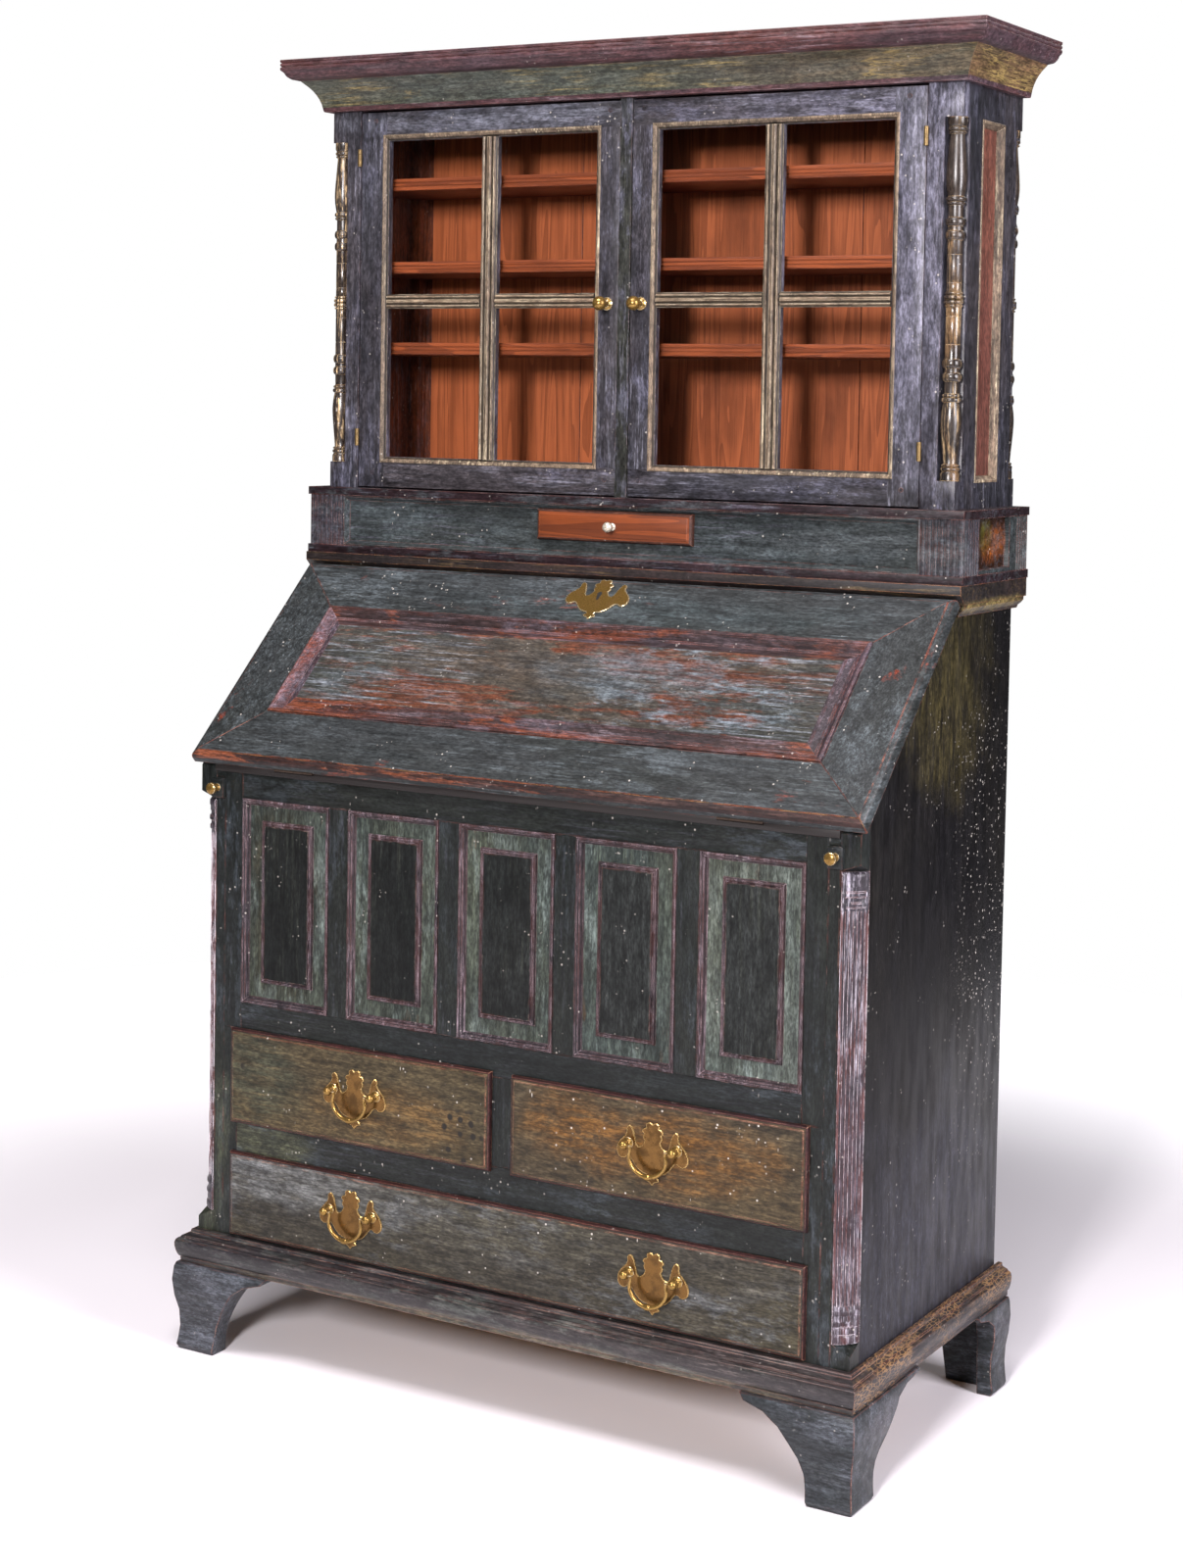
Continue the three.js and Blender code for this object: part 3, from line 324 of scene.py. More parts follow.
CASE_DARK = dict(
    tones=("151918", "1b1e1b", "43221a", "85665e"), rub=("3a3b42", 0.5), chalk=("3f464c", 0.5), wear=0.4,
    specks=0.5, rough=0.4)
M["case_z"] = painted(
    "case_paint_upright", "z", **CASE_DARK, clouds=[(at(-470, 0, 300), (0.05, FAR, 0.22), "414536", 0.8)])
M["case_x"] = painted(
    "case_paint_level", "x", **CASE_DARK, shift=2.0,
    clouds=[
        (at(-395, 0, 300), (0.13, FAR, 0.04), "4a4c3a", 0.8),
        (at(-60, 0, 745), (0.45, FAR, 0.02), "33383a", 0.8)])
M["side"] = painted(
    "side_paint", "z", ("0e0d10", "13110f", "2c1d18", "6d625c"), ("1c1a1c", 0.6), wear=0.4, specks=0.8,
    speck_size=1.15, speck_zone=(at(500, 400, 640), (FAR, 0.13, 0.42)), mottle=0.5, rough=0.44, gloss=0.18,
    shift=4.0,
    clouds=[
        (at(500, 230, 960), (FAR, 0.2, 0.18), "3c3620", 0.9),
        # The lower cloud is partly the side's own slate tone and partly a painted reflection of the floor on
        # the lower side.
        (at(500, 260, 200), (FAR, 0.5, 0.3), "34353f", 0.7)])

FALL = dict(
    tones=("303334", "292c2b", "6f3222", "9a6a56"), rub=("5c6468", 0.5), chalk=("5c6468", 0.45),
    patches=("6f3222", 0.06), wear=0.7, specks=0.8, rough=0.42, reach=1.8)
M["fall_x"] = painted(
    "fall_paint", "x", **FALL, shift=1.0, clouds=[(on_slope(0.1, 0.31), (0.45, 0.04, 0.04), "3f4a4c", 0.6)])
M["fall_s"] = painted("fall_stile_paint", "y", **FALL, shift=31.0)
M["fall_lip"] = painted(
    "fall_lip_paint", "x", ("231a19", "34221f", "8a4426", "b08a52"), ("6e5750", 0.5),
    patches=("74402a", 0.5), wear=0.8, reach=1.5, shift=42.0)
M["fall_panel"] = painted(
    "fall_panel_paint", "x", ("373834", "443a30", "6f3422", "a06a54"), ("7c828a", 0.7), ("66727a", 0.75),
    patches=("5a3220", 0.75), wear=0.7, mottle=0.5, shift=6.0,
    clouds=[
        (on_slope(-0.36, 0.17), (0.13, 0.09, 0.09), "33342f", 0.95),
        (on_slope(0.34, 0.19), (0.12, 0.06, 0.06), "3c3f3c", 0.9),
        (on_slope(0.08, 0.2), (0.2, 0.05, 0.05), "626e76", 0.5)])
M["fall_mould"] = painted(
    "fall_moulding_paint", "y", ("2c2628", "40343a", "6a3020", "b8989a"), ("82767e", 0.8), ("6a6470", 0.5),
    wear=0.8, specks=0.5, reach=1.5, shift=7.0,
    clouds=[(on_slope(-0.42, 0.2), (0.03, 0.12, 0.12), "7c3a20", 0.8)])
M["fall_run"] = painted(
    "fall_moulding_run_paint", "x", ("2b2324", "422922", "6a3020", "b8989a"), ("82767e", 0.5),
    ("6a6470", 0.3), patches=("6e3a24", 0.7), wear=0.8, specks=0.5, reach=1.5, shift=7.2,
    clouds=[(on_slope(0.28, 0.27), (0.28, 0.04, 0.04), "332a2c", 0.9)])

M["band"] = painted(
    "panel_band_paint", "z", ("333b38", "3b3f34", "4a2c22", "8f8a7c"), ("66705f", 0.5), ("74807c", 0.5),
    patches=("4a3a2a", 0.2), wear=0.6, specks=0.5, mottle=0.5, reach=1.5, shift=8.0,
    clouds=[
        (at(-350, 0, 620), (0.1, FAR, 0.2), "2c281a", 0.85),
        # The pale cloud on the right-hand bands is painted light: they are made lighter as if lit more from
        # the right.
        (at(400, 0, 620), (0.2, FAR, 0.25), "646c66", 0.6)])
# The cloud on the right-hand fields is painted light: they are made lighter as if lit more from the right.
M["field"] = painted(
    "panel_field_paint", "z", ("101312", "161817", "4a2a22", "8f7a70"), ("33362f", 0.4), specks=0.5,
    mottle=0.5, gloss=0.18, shift=9.0, clouds=[(at(330, 0, 620), (0.45, FAR, 0.3), "2d302f", 0.7)])
M["panel_mould"] = painted(
    "panel_moulding_paint", "z", ("242024", "302426", "4e2c26", "b8a6ae"), ("85767e", 0.8), wear=0.9,
    specks=0.5, reach=1.7, shift=32.0)

DRAWER = dict(wear=0.8, specks=0.9, mottle=0.5, reach=1.8)
DRAWER_WORN = ("5c2c20", "b4866c")
M["drawer_l"] = painted(
    "drawer_olive_paint", "x", ("403827", "4b3e27", *DRAWER_WORN), ("5c5038", 0.5), **DRAWER, spots=1.0,
    shift=11.0,
    clouds=[
        (at(-400, 0, 400), (0.12, FAR, 0.1), "353a2e", 0.7),
        (at(-150, 0, 370), (0.16, FAR, 0.05), "664c28", 0.7)])
M["drawer_r"] = painted(
    "drawer_ochre_paint", "x", ("373024", "423826", *DRAWER_WORN), ("5a4c34", 0.5), **DRAWER, spots=0.5,
    shift=12.0, clouds=[(at(200, 0, 392), (0.24, FAR, 0.06), "66461f", 1.0)])
M["drawer_b"] = painted(
    "drawer_grey_green_paint", "x", ("333028", "383427", *DRAWER_WORN), ("5e5a50", 0.65), ("5c6064", 0.5),
    **DRAWER, spots=0.4, shift=13.0,
    clouds=[
        (at(-350, 0, 260), (0.3, FAR, 0.05), "6c6e6e", 0.75),
        (at(-60, 0, 250), (0.3, FAR, 0.05), "48463c", 0.6)])
M["lip"] = painted(
    "drawer_lip_paint", "x", ("241416", "341c1a", "64301f", "c09a7e"), wear=0.85, reach=1.8, shift=33.0)
M["red_mould"] = painted(
    "worn_red_moulding", "x", ("38211a", "47281c", "74361f", "b07a5c"), wear=0.7, reach=1.2, shift=7.5)

BASE = dict(tones=("1f1e22", "2c2727", "5c3022", "b09484"), wear=0.85, reach=2.0)
M["base"] = painted(
    "base_moulding_paint", "x", **BASE, rub=("6c625e", 0.7), chalk=("5c625c", 0.45), rough=0.34, gloss=0.45,
    shift=14.0, clouds=[(at(0, 0, 124), (0.6, FAR, 0.012), "6b6048", 0.6)])
M["base_side"] = painted(
    "base_side_paint", "y", **BASE, rub=("6c625e", 0.4), chalk=("7c6450", 0.5),
    crackle=(0.7, "846646", 0.4, 230.0), rough=0.42, shift=14.5)
M["foot"] = painted(
    "foot_paint", "x", ("24282a", "2c3033", "5f3226", "a88474"), ("484c4c", 0.5), ("5a5e66", 0.5), wear=0.9,
    shift=15.0,
    clouds=[
        (at(-480, 0, 60), (0.12, FAR, 0.12), "4d4e54", 0.7),
        # This cloud is painted light: the feet's right sides are made lighter as if lit from the right.
        (at(520, 200, 60), (0.016, FAR, 0.12), "66646c", 0.8)])

INSIDE = (at(-463, 296, 1188), at(463, 463, 1690))
BOOK = dict(
    tones=("2b2b31", "3b373a", "3a231d", "95848a"), rub=("74747f", 0.7), chalk=("606070", 0.6), wear=0.55,
    specks=0.6, mottle=0.6, rough=0.32, reach=1.6,
    # Both clouds are painted sheen: a pale violet reflection over the right half of the front and along the
    # left door's top rail.
    clouds=[
        (at(440, 274, 1540), (0.42, 0.03, 0.36), "676674", 0.85),
        (at(-220, 274, 1690), (0.3, 0.05, 0.03), "63656f", 0.85)])
DOOR_RAILS = [(at(-388, 250, low), at(388, 281, high)) for low, high in ((1668, 1706), (1170, 1212))]
M["book_z"] = painted("bookcase_paint_upright", "z", **BOOK, shift=16.0, gloss=0.42, rails=DOOR_RAILS)
M["book_case"] = painted(
    "bookcase_case_paint", "z", **BOOK, shift=16.5, gloss=0.3,
    zones=[(*INSIDE, "6c331d"), (at(-10, 250, 1173), at(10, 300, 1705), "2b2c28")],
    # Painted shade: the case's two sides are darkened a little and its inside by a quarter.
    painted_shade=[
        (at(470, 286, 1173), at(600, 480, 1705), 0.85), (at(-600, 286, 1173), at(-470, 480, 1705), 0.85),
        (*INSIDE, 0.75)])

PLUM, REED_PAINT, HOLLOW = "22171a", "303036", "2a170c"
M["mid"] = painted(
    "low_case_paint", "x", ("2a2f30", "313534", "50291f", "8f7470"), ("565561", 0.45), ("4c5558", 0.4),
    wear=0.75, specks=0.6, rough=0.4, shift=17.0, gloss=0.15, reach=1.6,
    zones=[
        (at(-600, 200, 1161.5), at(600, 500, 1180), PLUM),
        (at(-600, 200, 1070), at(600, 500, 1091.5), PLUM),
        (at(442, 250, 1091.5), at(600, 312, 1161.5), REED_PAINT),
        (at(-600, 250, 1091.5), at(-442, 312, 1161.5), REED_PAINT),
        (at(480, 312, 1091.5), at(493, 440, 1161.5), HOLLOW),
        (at(-493, 312, 1091.5), at(-480, 440, 1161.5), HOLLOW)],
    clouds=[
        # This cloud is painted light: the right of the front is made lighter as if lit more from the right.
        (at(400, 255, 1126), (0.4, 0.02, 0.04), "454a4c", 0.8),
        (at(493, 375, 1126), (0.003, 0.05, 0.03), "8a4a1a", 0.8),
        (at(493, 350, 1140), (0.003, 0.03, 0.03), "4a4a16", 0.7)])
M["waist"] = painted(
    "waist_moulding_paint", "x", ("1d1a1a", "2a2120", "6a3822", "a4784e"), ("6a5634", 0.5), wear=0.85,
    reach=1.5, shift=41.0, clouds=[(at(530, 380, 1050), (0.05, 0.32, 0.014), "92804c", 0.95)])

CRACKLE = "9a8450"
COVE_WORN = ("5f3424", "8f6a4c")
M["cornice"] = painted(
    "cornice_paint", "x", ("45473c", "4b4a42", *COVE_WORN), ("a89258", 0.8),
    crackle=(0.3, CRACKLE, 0.05, 330.0), wear=0.6, mottle=0.45, shift=18.0,
    clouds=[
        (at(440, 250, 1730), (0.3, FAR, FAR), "5a4e3c", 0.7),
        (at(-200, 250, 1725), (0.3, FAR, FAR), "4c5450", 0.5)])
M["cornice_side"] = painted(
    "cornice_side_paint", "y", ("664e38", "4e422e", *COVE_WORN), ("9c8858", 1.0),
    crackle=(0.45, CRACKLE, 0.06, 300.0), wear=0.6, mottle=0.45, shift=18.5)
M["fillet"] = painted(
    "cornice_fillet_paint", "x", ("44343a", "50302e", "64352a", "b49c9c"), ("84767c", 0.7), wear=0.8,
    reach=1.3, shift=19.0)
TAN = dict(
    tones=("574a3e", "6d5c4c", "9a8a70", "e0d2b6"), rub=("c4b698", 0.8), wear=0.85, specks=0.4, reach=1.3,
    # Painted shade: the parts of the door mouldings and bars set back behind the face, the grooves and the
    # edges by the glass, are darkened to about a fifth.
    mottle=0.5, painted_shade=[(at(-600, 276.5, 1200), at(600, 281, 1680), 0.22)])
M["tan"] = painted("worn_tan_moulding", "z", **TAN, shift=20.0)
M["tan_x"] = painted("worn_tan_moulding_level", "x", **TAN, shift=35.0)
M["turned"] = painted(
    "colonnette_paint", "z", ("23201e", "352c26", "94714a", "dcc496"), ("c0a47c", 1.0),
    patches=("6a5238", 0.4), wear=0.9, specks=0.6, rough=0.26, gloss=0.5, reach=1.2, shift=21.0)
M["column"] = painted(
    "column_paint", "z", ("2e2b31", "43363c", "6a4440", "ece6ee"), ("bcb6c2", 0.8), ("8a8692", 0.3),
    patches=("43201d", 0.3), wear=1.0, specks=0.5, rough=0.36, reach=1.8, shift=34.0)
M["side_panel"] = painted(
    "side_panel_paint", "z", ("5c362e", "6a4034", "7f4a36", "7a4a38"), ("5a3a32", 0.5), wear=0.4,
    specks=0.2, mottle=0.25, shift=36.0)
M["peg"] = painted("peg_paint", "x", ("2c2a30", "38343a", "5a4038", "77686c"), shift=37.0)

# The board's front edge, under the fall's lip, is darkened to near black as painted shade.
M["red"] = wood("red_stained_pine", "x", "6e3019", "441e10", painted_front=FRONT_Y + 3 * MM)
M["shelf_edge"] = wood("shelf_edge_pine", "x", "844224", "3c180e", 0.4, shift=8.0)
M["boards"] = wood("back_board_pine", "z", "b5623a", "6e3419", shift=3.0)
M["bare"] = wood("bare_pine", "x", "94703f", "6a4a28", 0.65, shift=5.0)
M["small"] = wood("small_drawer_pine", "x", "743818", "401c0c", shift=6.0)
M["brass"] = brass("brass", "8c6e38", "5e4522", "f8eac6")
M["plate_brass"] = brass("plate_brass", "6c4e26", "3c2a15", "dcbc7c")
M["hole"] = plain_finish("keyhole_painted_shade", "0c0a08", 0.8)
M["pale_knob"] = plain_finish("small_knob_metal", "cfc7b4", 0.25, 0.6)
M["hinge"] = plain_finish("dull_hinge_metal", "3a2c22", 0.5, 0.5)
M["dull_brass"] = plain_finish("dull_brass", "6e5a38", 0.4, 0.7)
M["glass"] = glass()


# ---- Meshes -------------------------------------------------------------------------------------


def facing(a, b, depth):
    """A place on an upright front face: across, up and back."""
    return at(a, depth, b)


def rectangle(x, z, inset=0):
    """The corners of a rectangle drawn in from its limits."""
    a0, a1, b0, b1 = x[0] + inset, x[1] - inset, z[0] + inset, z[1] - inset
    return ((a0, b0), (a1, b0), (a1, b1), (a0, b1))


def mesh_piece(name, points, faces, materials, indices, body, soften=0.0, smooth=None, replaces=None):
    """A closed mesh with its faces turned outwards, its edges rounded by soften millimetres and angles under
    smooth degrees smoothed, put on its body. materials are names with spaces between them."""
    mesh = bpy.data.meshes.new(name)
    mesh.from_pydata([tuple(p) for p in points], [], faces)
    for key in materials.split():
        mesh.materials.append(M[key])
    mesh.polygons.foreach_set("material_index", indices)
    obj = bpy.data.objects.new(name, mesh)
    scene.collection.objects.link(obj)
    bm = bmesh.new()
    bm.from_mesh(mesh)
    bmesh.ops.recalc_face_normals(bm, faces=bm.faces)
    bm.to_mesh(mesh)
    bm.free()
    if smooth is not None:
        mesh.polygons.foreach_set("use_smooth", [True] * len(mesh.polygons))
        mesh.set_sharp_from_angle(angle=math.radians(smooth))
    if soften:
        rounded(obj, soften, 28).use_clamp_overlap = True
    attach(obj, body)
    if replaces:
        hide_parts(replaces)
    return obj


def rounded(obj, width, angle):
    bevel = obj.modifiers.new("rounded", "BEVEL")
    bevel.width, bevel.segments = width * MM, 2
    bevel.limit_method, bevel.angle_limit = "ANGLE", math.radians(angle)
    return bevel


def loft(
    name, sections, materials, body, slot, soften=0.0, smooth=None, replaces=None, ring=False, zones=None):
    """Joins sections with equal numbers of points. zones gives a material index per section gap."""
    n, rows = len(sections[0]), len(sections)
    points = [p for section in sections for p in section]
    faces, indices = [], []
    for i in range(rows if ring else rows - 1):
        j = (i + 1) % rows
        for k in range(n):
            m = (k + 1) % n
            faces.append((i * n + k, i * n + m, j * n + m, j * n + k))
            indices.append(zones[i] if zones else 0)
    if not ring:
        faces += [tuple(range(n))[::-1], tuple((rows - 1) * n + k for k in range(n))]
        indices += [zones[0], zones[-1]] if zones else [0, 0]
    return mesh_piece(name, points, faces, materials, indices, body, soften, smooth, replaces)


def block(name, x, y, z, material, body="carcass", slot="dark_paint", soften=0.8):
    """A board given by its limits in plan millimetres."""
    return loft(name, [[at(a, b, c) for a, b in rectangle(x, y)] for c in z], material, body, slot, soften)


def nested(name, x, z, steps, place, *rest, zones=None, ring=False):
    """Nested rectangles, steps of (inset, depth), placed by place(a, b, depth). With ring, a mitred frame
    of moulding whose steps close on themselves."""
    sections = [[place(a, b, depth) for a, b in rectangle(x, z, inset)] for inset, depth in steps]
    return loft(name, list(zip(*sections)) if ring else sections, *rest, zones=zones, ring=ring)


def lathe(name, profile, centre, axis, sides, material, body, slot, replaces=None):
    """A turned piece: profile (radius, along) in mm, about "y" or "z" through a plan point."""
    sections = []
    x, y, z = centre
    for radius, t in profile:
        ring = []
        for k in range(sides):
            a = 2 * math.pi * k / sides
            u, v = radius * math.cos(a), radius * math.sin(a)
            ring.append(at(x + u, y + t, z + v) if axis == "y" else at(x + u, y + v, z + t))
        sections.append(ring)
    return loft(name, sections, material, body, slot, 0, 38, replaces)


def curve_through(points, per=5):
    """Catmull-Rom samples through points, ends kept."""
    out = []
    pts = [points[0], *points, points[-1]]
    for i in range(1, len(pts) - 2):
        p0, p1, p2, p3 = pts[i - 1 : i + 3]
        square, cube = 2 * p0 - 5 * p1 + 4 * p2 - p3, 3 * p1 - p0 - 3 * p2 + p3
        for t in (s / per for s in range(per)):
            out.append(0.5 * (2 * p1 + (p2 - p0) * t + square * t * t + cube * t ** 3))
    return [*out, points[-1]]


def tube(name, centres, radii, body, replaces=None):
    """A round brass bar of changing thickness through points that lie in a plane facing the front."""
    front = Vector((0, -1, 0))
    sections = []
    for i, (centre, radius) in enumerate(zip(centres, radii)):
        ahead = (centres[min(i + 1, len(centres) - 1)] - centres[max(i - 1, 0)]).normalized()
        side = ahead.cross(front).normalized()
        turns = [k * math.pi / 6 for k in range(12)]
        sections.append(
            [at(*(centre + radius * (math.cos(a) * front + math.sin(a) * side))) for a in turns])
    return loft(name, sections, "brass", body, "brass", 0, 50, replaces)


def dress(node, material, soften=0.8, smooth=32):
    """A CAD node kept as it is, with softened edges and its own finish."""
    obj = NODES[node]
    for slot in obj.material_slots:
        slot.material = M[material]
    obj.modifiers.new("weld", "WELD").merge_threshold = 2e-5
    if soften:
        flat = obj.modifiers.new("flats", "DECIMATE")
        flat.decimate_type, flat.angle_limit = "DISSOLVE", math.radians(0.5)
        rounded(obj, soften, smooth)
    name = f"smooth_{smooth}"
    group = bpy.data.node_groups.get(name) or smoothing_nodes(name, smooth)
    obj.modifiers.new("shading", "NODES").node_group = group


def smoothing_nodes(name, angle):
    """Modifier nodes that smooth shallow angles, so that the CAD mesh itself stays unchanged."""
    tree = bpy.data.node_groups.new(name, "GeometryNodeTree")
    for in_out in ("INPUT", "OUTPUT"):
        tree.interface.new_socket("Geometry", in_out=in_out, socket_type="NodeSocketGeometry")
    kinds = (
        "NodeGroupInput", "NodeGroupOutput", "GeometryNodeInputMeshEdgeAngle", "FunctionNodeCompare",
        "GeometryNodeSetShadeSmooth", "GeometryNodeSetShadeSmooth")
    first, last, edge, test, faces, edges = (tree.nodes.new(kind) for kind in kinds)
    test.data_type, test.operation = "FLOAT", "LESS_THAN"
    test.inputs[1].default_value = math.radians(angle)
    edges.domain = "EDGE"
    tree.links.new(first.outputs[0], faces.inputs["Geometry"])
    tree.links.new(faces.outputs[0], edges.inputs["Geometry"])
    tree.links.new(edge.outputs["Unsigned Angle"], test.inputs[0])
    tree.links.new(test.outputs[0], edges.inputs["Shade Smooth"])
    tree.links.new(edges.outputs[0], last.inputs[0])
    return tree


# ---- CAD nodes that keep their shape ------------------------------------------------------------

for _, side in SIDES:
    dress(f"foot_front_{side}", "foot", 1.2, 40)
    dress(f"foot_rear_{side}", "foot", 1.2, 40)
    dress(f"desk_side_{side}", "side")
    dress(f"loper_{side}", "case_x")
    dress(f"fall_hinge_{side}", "hinge", 0)
    dress(f"door_frame_{side}", "book_z")
    dress(f"door_glass_{side}", "glass", 0)
    for place in ("upper", "lower"):
        dress(f"door_hinge_{place}_{side}", "dull_brass", 0)
dress("desk_bottom", "bare", 0)
dress("desk_back", "bare", 0)
dress("desk_top", "waist", 1.0)
dress("writing_board", "red", 1.0)
dress("pigeonholes", "red", 0.5)
dress("mid_case", "mid", 0.7, 50)
dress("bookcase_case", "book_case")
for i in (1, 2, 3):
    dress(f"bookcase_shelf_{i}", "red", 1.0)

# ---- Fall front ---------------------------------------------------------------------------------

FALL_HALF, FALL_LENGTH, FALL_RAIL, FALL_THICK = 497, 363.5, 84, 18


def on_fall(across, up_slope, out):
    """A point of the closed fall: across, up from its lower edge and out from its inner face."""
    c, s = math.cos(SLOPE), math.sin(SLOPE)
    return at(across, HINGE_Y + up_slope * c - out * s, WRITE_Z + up_slope * s + out * c)


def fall_boards():
    """Four mitred boards with a thumbnail outer edge, each its own piece so that the joints show."""
    section = [
        (0, 0), (0, 9), (0.8, 12.3), (2.6, 14.8), (5.2, 16), (8.6, 16.2), (8.6, 17.6), (9, FALL_THICK),
        (FALL_RAIL - 0.5, FALL_THICK), (FALL_RAIL, 17.5), (FALL_RAIL, 0)]
    joint = 0.25
    a, b = FALL_HALF, FALL_LENGTH
    corners = [(-a, 0, 1, 1), (a, 0, -1, 1), (a, b, -1, -1), (-a, b, 1, -1)]
    for i, name in enumerate(("bottom", "right", "top", "left")):
        ends = (corners[i], corners[(i + 1) % 4])
        axis = i % 2
        ahead = joint if ends[1][axis] > ends[0][axis] else -joint
        sections = []
        for shift, (x, s, dx, ds) in zip((ahead, -ahead), ends):
            row = []
            for inset, out in section:
                p = [x + dx * inset, s + ds * inset]
                p[axis] += shift
                row.append(on_fall(*p, out))
            sections.append(row)
        obj = loft(
            f"fall_board_{name}", sections, ("fall_s" if axis else "fall_x") + " fall_lip", "fall",
            "green_paint", 0.5, 32, None if i else "fall_frame")
        if name == "bottom":
            for k in range(1, 6):
                obj.data.polygons[k].material_index = 1


def fall_centre():
    """The panel: a moulding proud of the frame, a hollow slope, a flat and a raised field."""
    steps = [
        (0.4, 3), (0.4, 18.2), (1.2, 20.2), (3.2, 21), (5.2, 20.2), (6.2, 18.2), (7, 17.6), (9.5, 15.2),
        (12, 11.5), (14, 10), (15, 11), (16.8, 11.4), (18, 10.4), (26.5, 13.4), (27.5, 14.6), (29, 15.2),
        (30.5, 14.8)]
    x, s = (-FALL_HALF + FALL_RAIL, FALL_HALF - FALL_RAIL), (FALL_RAIL, FALL_LENGTH - FALL_RAIL)
    faces = nested(
        "fall_centre", x, s, steps, on_fall, "fall_panel fall_mould fall_run", "fall", "green_paint", 0.25,
        25, "fall_panel", zones=[1] * 16).data.polygons
    for face in faces:
        face.material_index = 1 + (face.index + 1) % 2
    faces[len(faces) - 1].material_index = 0


fall_boards()
fall_centre()

# ---- Front frame, panels and drawers ------------------------------------------------------------

POST_IN, CASE_HALF, FRAME_LOW, FRAME_TOP = 462, 488, 121, 796.5
OPEN_HALF, LOWER_Z, UPPER_Z, MID_STILE = 424, (174, 275), (328, 443.5), 22
PANEL_HALF, PANEL_WIDTH, PANEL_Z = 418, 142, (485.5, 762.5)
PANEL_PITCH = (2 * PANEL_HALF - PANEL_WIDTH) / 4
PANEL_LEFTS = [-PANEL_HALF + i * PANEL_PITCH for i in range(5)]
SLOT_IN, SLOT_Z = 447, (759.3, 787.6)  # the openings for the lopers
COLUMN_Z = (193, 757)


def front_boards():
    """The frame as its own boards, so that their joints and grain show."""
    wide, narrow, joint, stile_break = POST_IN - 44, POST_IN - 38, 0.15, UPPER_Z[1] + 6
    depth, deep = (0, FRAME_DEPTH), (FRAME_DEPTH + 0.1, 440)
    boards = [
        ("top_rail", wide, (PANEL_Z[1], FRAME_TOP)), ("mid_rail", wide, (UPPER_Z[1], PANEL_Z[0])),
        ("drawer_rail", narrow, (LOWER_Z[1], UPPER_Z[0])), ("bottom_rail", narrow, (FRAME_LOW, LOWER_Z[0]))]
    for name, half, z in boards:
        block(f"front_{name}", (joint - half, half - joint), depth, z, "case_x", soften=0.6)
    stiles = [("drawer_stile", (-MID_STILE, MID_STILE), UPPER_Z)]
    for i in (1, 2, 3, 4):
        stiles.append((f"panel_stile_{i}", (PANEL_LEFTS[i - 1] + PANEL_WIDTH, PANEL_LEFTS[i]), PANEL_Z))
    for name, x, z in stiles:
        block(f"front_{name}", x, depth, (z[0] + joint, z[1] - joint), "case_z", soften=0.6)
    parts = (
        ("stile_inner", wide, SLOT_IN, (stile_break, FRAME_TOP), "case_z", 0.6),
        ("stile_low", narrow, SLOT_IN, (FRAME_LOW, stile_break - 0.2), "case_z", 0.6),
        ("stile_outer", SLOT_IN - 0.1, POST_IN - 0.1, (FRAME_LOW, SLOT_Z[0]), "case_z", 0.6),
        ("slot_top", SLOT_IN, POST_IN, (SLOT_Z[1], FRAME_TOP), "case_x", 0.4))
    for side, label in SIDES:
        for name, near, far, z, material, soften in parts:
            x = sorted((side * near, side * far))
            block(f"front_{name}_{label}", x, depth, z, material, soften=soften)
        corner_post(side, label)
    for i, z in enumerate(((162, 173.5), (316, 327.5), (452, 462))):
        block(f"dust_board_{i + 1}", (-469.5, 469.5), deep, z, "bare", slot="bare_wood", soften=0)
    block("drawer_wall", (-20, 20), deep, (327.6, 451.9), "bare", slot="bare_wood", soften=0)
    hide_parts("front_frame")


def corner_post(side, label):
    """The post with its chamfer, stopped by points above and below, and its sloping top."""
    low, high = COLUMN_Z
    stop, square, cut = 12.0, 0.2, 25.4
    inner = POST_IN + 0.1
    rows = []
    for z, z_back, chamfer in (
        (FRAME_LOW, FRAME_LOW, square), (low - stop, low - stop, square), (low, low, cut),
        (high, high, cut), (high + stop * 0.8, high + stop * 0.8, square), (801.5, 832, square)):
        plan = [
            (inner, 0), (CASE_HALF - chamfer, 0), (CASE_HALF, chamfer), (CASE_HALF, FRAME_DEPTH),
            (inner, FRAME_DEPTH)]
        rows.append([at(side * x, y, z + (z_back - z) * y / FRAME_DEPTH) for x, y in plan])
    loft(f"corner_post_{label}", rows, "case_z", "carcass", "dark_paint", 0.5)


def front_panels():
    """Raised panels: a moulding, a wide painted band, a second moulding and a field."""
    steps = [
        (0.3, 22), (0.3, -1), (1.2, -2), (2.8, -2), (4, -0.8), (4.6, 0.6), (5.6, 1), (6.6, 2.6), (7.6, 5.2),
        (9, 6.2), (29, 6.6), (29.6, 4), (30.8, 2.8), (32.4, 3), (33.4, 4.2), (34.6, 4.6), (35.2, 2.4),
        (36, 2)]
    zones = [1] * 9 + [2] + [1] * 6 + [0, 0]
    for i, left in enumerate(PANEL_LEFTS):
        nested(
            f"front_panel_look_{i + 1}", (left, left + PANEL_WIDTH), PANEL_Z, steps, facing,
            "field panel_mould band", "carcass", "green_paint", 0.15, 25, f"front_panel_{i + 1}",
            zones=zones)


